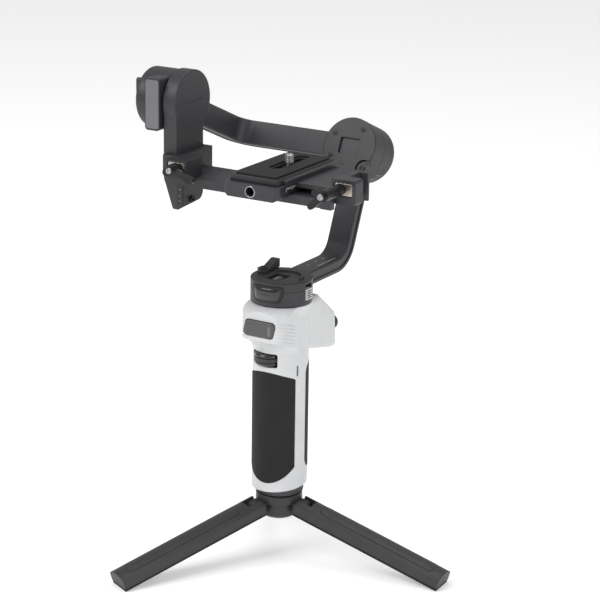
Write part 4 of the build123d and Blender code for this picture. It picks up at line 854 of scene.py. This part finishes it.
# ----------------------------------------------------------------------------- arms and motors
@dataclass
class Arms:
    """Printed scales, lever screws and motor trim."""

    arm_top: float = 202.0
    roll_lean: float = 23.5
    roll_distance: float = 118.0
    tilt_z: float = 317.0
    cap_front: float = 19.8
    cover_r: float = 22.3
    cover_x: float = 0.7
    cover_z: float = 196.1
    pane_width: float = 19.6
    pane_height: float = 8.6
    pane_corner: float = 1.8
    pane_bulge: float = 0.9
    pane_taper: float = 0.20
    taper_height: float = 5.6
    lever_screw: tuple[float, float, float] = (-15.2, 1.0, 206.8)
    lock_face: tuple[float, float, float] = (21.9, 0.6, 194.3)
    cap_screw_circle: float = 15.5
    cap_screw_turns: tuple[float, ...] = (1.0, 2.6, 3.7)
    roll_pivot: float = 21.1
    roll_lever_at: tuple[float, float] = (15.0, -14.6)
    arm_face: float = 11.6
    arm_rise: float = 9.0

    def roll_seat(self, depth: float) -> Seat:
        """Seat on the roll axis, a depth in front of the pan arm's middle.

        Args:
            depth: Millimetres forward along the roll axis.

        Returns:
            The seat.
        """
        lean = math.radians(self.roll_lean)
        forward = np.array([0, -math.cos(lean), math.sin(lean)])
        rise = np.array([0, math.sin(lean), math.cos(lean)])
        return Seat(np.array([0, 0, self.tilt_z]) - forward * (self.roll_distance - depth), (1, 0, 0), rise)

    def wrapped(self, rings: np.ndarray) -> np.ndarray:
        """Taper a skin's lower half towards its middle and wrap it round the pan drum.

        Args:
            rings: Rings as across, up and outwards, about the cover's middle.

        Returns:
            Rings in the object's frame.
        """
        narrowing = self.pane_taper * np.clip(-rings[..., 1] / self.taper_height, 0, 1)
        across = rings[..., 0] * (1 - narrowing) + self.cover_x
        drum = np.stack([across, -np.sqrt(self.cover_r**2 - across**2)], -1)
        round_ = drum * (1 + rings[..., 2:] / self.cover_r)
        return np.concatenate([round_, rings[..., 1:2] + self.cover_z], -1)

    @staticmethod
    def divided(outline: Outline, parts: int) -> Outline:
        """Cut every side of an outline into equal parts, so that it can bend round a drum.

        Args:
            outline: The outline to divide.
            parts: Pieces per side.

        Returns:
            The divided outline.
        """

        def dense(inset: float) -> np.ndarray:
            """Points evenly between each corner and the next."""
            here = outline(inset)
            step = (np.arange(parts) / parts)[None, :, None]
            return (here[:, None] * (1 - step) + np.roll(here, -1, axis=0)[:, None] * step).reshape(-1, 2)

        return dense

    def build_front_panel(self) -> None:
        """The bulging glossy pane in the pan motor's front cover."""
        reach = self.pane_height / 2 - 0.2
        turns = np.linspace(0.1, math.pi / 2, 12)
        dome = [(-0.3, 0.0)] + [(self.pane_bulge * math.sin(t), reach * (1 - math.cos(t))) for t in turns]
        pane = self.divided(rounded_rectangle(self.pane_width, self.pane_height, self.pane_corner, 8), 8)
        Maker.skin("pan_front_pane", self.wrapped(layer(pane, dome)), "gloss", "pan_head", angle=50)

    def build(self) -> None:
        """Build the pan motor's trim and the two arms' marks and screws."""
        self.build_pan_top()
        self.build_front_panel()
        self.build_lock_rib_shade()
        self.build_roll_trim()

    def build_pan_top(self) -> None:
        """The pan arm's line, dots and ticks, and the screw of its clamp lever."""
        top = Seat((0, 0, self.arm_top), (1, 0, 0), (0, 1, 0))
        marks = [mark(top, 0.35, 28, (5, 54))]
        marks += [mark(top, 1.0, 1.0, (-2, 39 + 10 * i), corner=0.45, proud=0.08) for i in range(4)]
        marks += [mark(top, 3.0 if i % 5 else 5.0, 0.3, (-3.0, -8 + 2 * i)) for i in range(13)]
        Maker.group("pan_arm_scale", marks, "print", "pan_arm")
        lever = Seat(self.lever_screw, (1, 0, 0), (0, 1, 0))
        Maker.skin("pan_lever_screw", socket_screw(lever, 2.6, 1.1), "black_steel", "pan_lever")

    def build_lock_rib_shade(self) -> None:
        """Dark bars that mark the thumb ribs on the pan motor's pale lock slider: the ribs are the slider's own
        colour, and the bars' darkness is painted shade.
        """
        face = Seat(self.lock_face, (0, 1, 0), (0, 0, 1))
        rib_shade_bars = [bar(face, 5.4, 0.6, (0, -2.4 + 1.6 * i), -0.3, 0.4, 0.2, 0.2) for i in range(4)]
        Maker.group("lock_slider_rib_shade", rib_shade_bars, "nylon", "pan_lock")

    def build_roll_trim(self) -> None:
        """The roll cap's screws, the roll lever's screw and the roll arm's ticks."""
        cap = self.roll_seat(self.cap_front)
        circle_r = self.cap_screw_circle
        places = [(circle_r * math.cos(t), circle_r * math.sin(t)) for t in self.cap_screw_turns]
        screws = [socket_screw(cap, 1.7, 0.5, place) for place in places]
        Maker.group("roll_cap_screws", screws, "black_steel", "roll_head")
        pivot = self.roll_seat(self.roll_pivot)
        Maker.skin("roll_lever_screw", socket_screw(pivot, 2.2, 0.7, self.roll_lever_at), "black_steel", "roll_lever")
        roll_top = self.roll_seat(self.arm_face)
        arm = Seat(roll_top.origin + np.asarray(roll_top.up) * self.arm_rise, (-1, 0, 0), roll_top.out())
        ticks = [mark(arm, 0.3, 2.0 if i % 5 else 3.4, (28 + 2 * i, 0)) for i in range(16)]
        Maker.group("roll_arm_scale", ticks, "print", "roll_arm")


# ----------------------------------------------------------------------------- camera stage
@dataclass
class Stage:
    """Threaded camera screw, scales, lever screws and plate marks."""

    screw_y: float = 8.0
    screw_low: float = 277.5
    screw_r: float = 3.175
    pitch: float = 1.27
    thread_from: float = 282.6
    thread_to: float = 288.4
    thread_depth: float = 0.62
    head_r: float = 5.6
    head_thick: float = 2.0
    neck_step: float = 0.4
    plate_in: float = -72.6
    left_lever: tuple[float, float, float] = (-63.0, -44.7, 278.2)
    right_lever: tuple[float, float, float] = (57.0, -47.2, 277.6)
    carriage_side: tuple[float, float, float] = (22.0, -17.0, 273.9)
    boss: tuple[float, float, float] = (0.0, -42.0, 272.0)
    boss_bore: float = 3.22
    boss_r: float = 4.0

    def build_screw(self) -> None:
        """Camera screw with a real helical thread.

        On the thread the radius follows a rounded triangle wave of the height less the share
        of a turn, so that its crest climbs one pitch in each turn.
        """
        count = 40
        turn = np.arange(count) * 2 * np.pi / count
        heights = np.arange(self.thread_from, self.thread_to, self.pitch / 10)
        phase = (heights[:, None] / self.pitch - turn[None, :] / (2 * np.pi)) % 1.0
        depth = self.thread_depth * np.clip(np.abs(2 * phase - 1) * 1.3 - 0.1, 0, 1)
        taper = np.clip((self.thread_to - heights) / 0.8, 0, 1)[:, None] * 0.45 + 0.55
        radius = (self.screw_r - depth) * np.where(taper < 1, taper**0.35, 1)
        thread = np.stack(
            [radius * np.cos(turn), radius * np.sin(turn), np.broadcast_to(heights[:, None], radius.shape)], -1
        )
        head_top = self.screw_low + self.head_thick
        head = layer(circle(self.head_r, count), [(self.screw_low, 0.3), (self.screw_low + 0.3, 0), (head_top, 0)])
        neck = layer(circle(self.screw_r - self.neck_step, count), [(head_top, 0), (self.thread_from - 0.2, 0)])
        rings = np.concatenate([head, neck, thread])
        rings[..., 1] += self.screw_y
        screw = Maker.skin("threaded_camera_screw", rings, "steel", "camera_screw", angle=40)
        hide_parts("camera_screw")

    def build(self) -> None:
        """Build the stage's added pieces."""
        self.build_screw()
        self.build_scales()
        self.build_collar()
        for name, place in (("left_lever", self.left_lever), ("right_lever", self.right_lever)):
            seat = Seat(place, (1, 0, 0), (0, 0, 1))
            Maker.skin(f"{name}_screw", socket_screw(seat, 2.1, 0.8), "steel", name)

    def build_scales(self) -> None:
        """The carriage's scale plate with its ticks, and the upright plate's line and dots."""
        side = Seat(self.carriage_side, (0, 1, 0), (0, 0, 1))
        plate = bar(side, 33, 4.6, (0, 0), -0.3, 0.12, 0.6, 0.08)
        Maker.group("carriage_scale_plate", [plate], "dark_print_and_shadow", "carriage")
        sizes = [(0.9, 1.5) if i % 5 else (0.4, 2.6) for i in range(21)]
        ticks = [
            mark(side, 0.35, tall, (-15 + 1.5 * i, up), proud=0.18, sunk=0.0) for i, (up, tall) in enumerate(sizes)
        ]
        Maker.group("carriage_scale_ticks", ticks, "print", "carriage")
        upright = Seat((self.plate_in, 0, 0), (0, 1, 0), (0, 0, 1))
        line = mark(upright, 1.6, 42, (-12.5, 267), corner=0.4, sunk=0.2)
        Maker.group("plate_guide_line", [line], "dark_print_and_shadow", "tilt_head")
        dots = [mark(upright, 0.8, 0.8, (-17.5, 250 + 4 * i), corner=0.35, proud=0.08, sunk=0.2) for i in range(9)]
        Maker.group("plate_scale_dots", dots, "print", "tilt_head")

    def build_collar(self) -> None:
        """The steel collar of the carriage's threaded boss."""
        boss = Seat(self.boss, (1, 0, 0), (0, 0, 1))
        outer = layer(circle(self.boss_r), [(-0.4, 0), (0.15, 0), (0.3, 0.2)])
        inner = layer(circle(self.boss_bore), [(0.3, -0.1), (-0.4, 0)])
        rings = boss.place(np.concatenate([outer, inner]))
        Maker.skin("boss_thread_collar", rings, "steel", "carriage", tube=True)


def main() -> None:
    """Build the studio, the finishes and every added piece."""
    Studio().build()
    PAINT.dress_frame()
    Tripod().build()
    Handle().build()
    Arms().build()
    Stage().build()


if __name__ == "__main__":
    logging.basicConfig(level=logging.INFO, format="%(message)s")
    main()
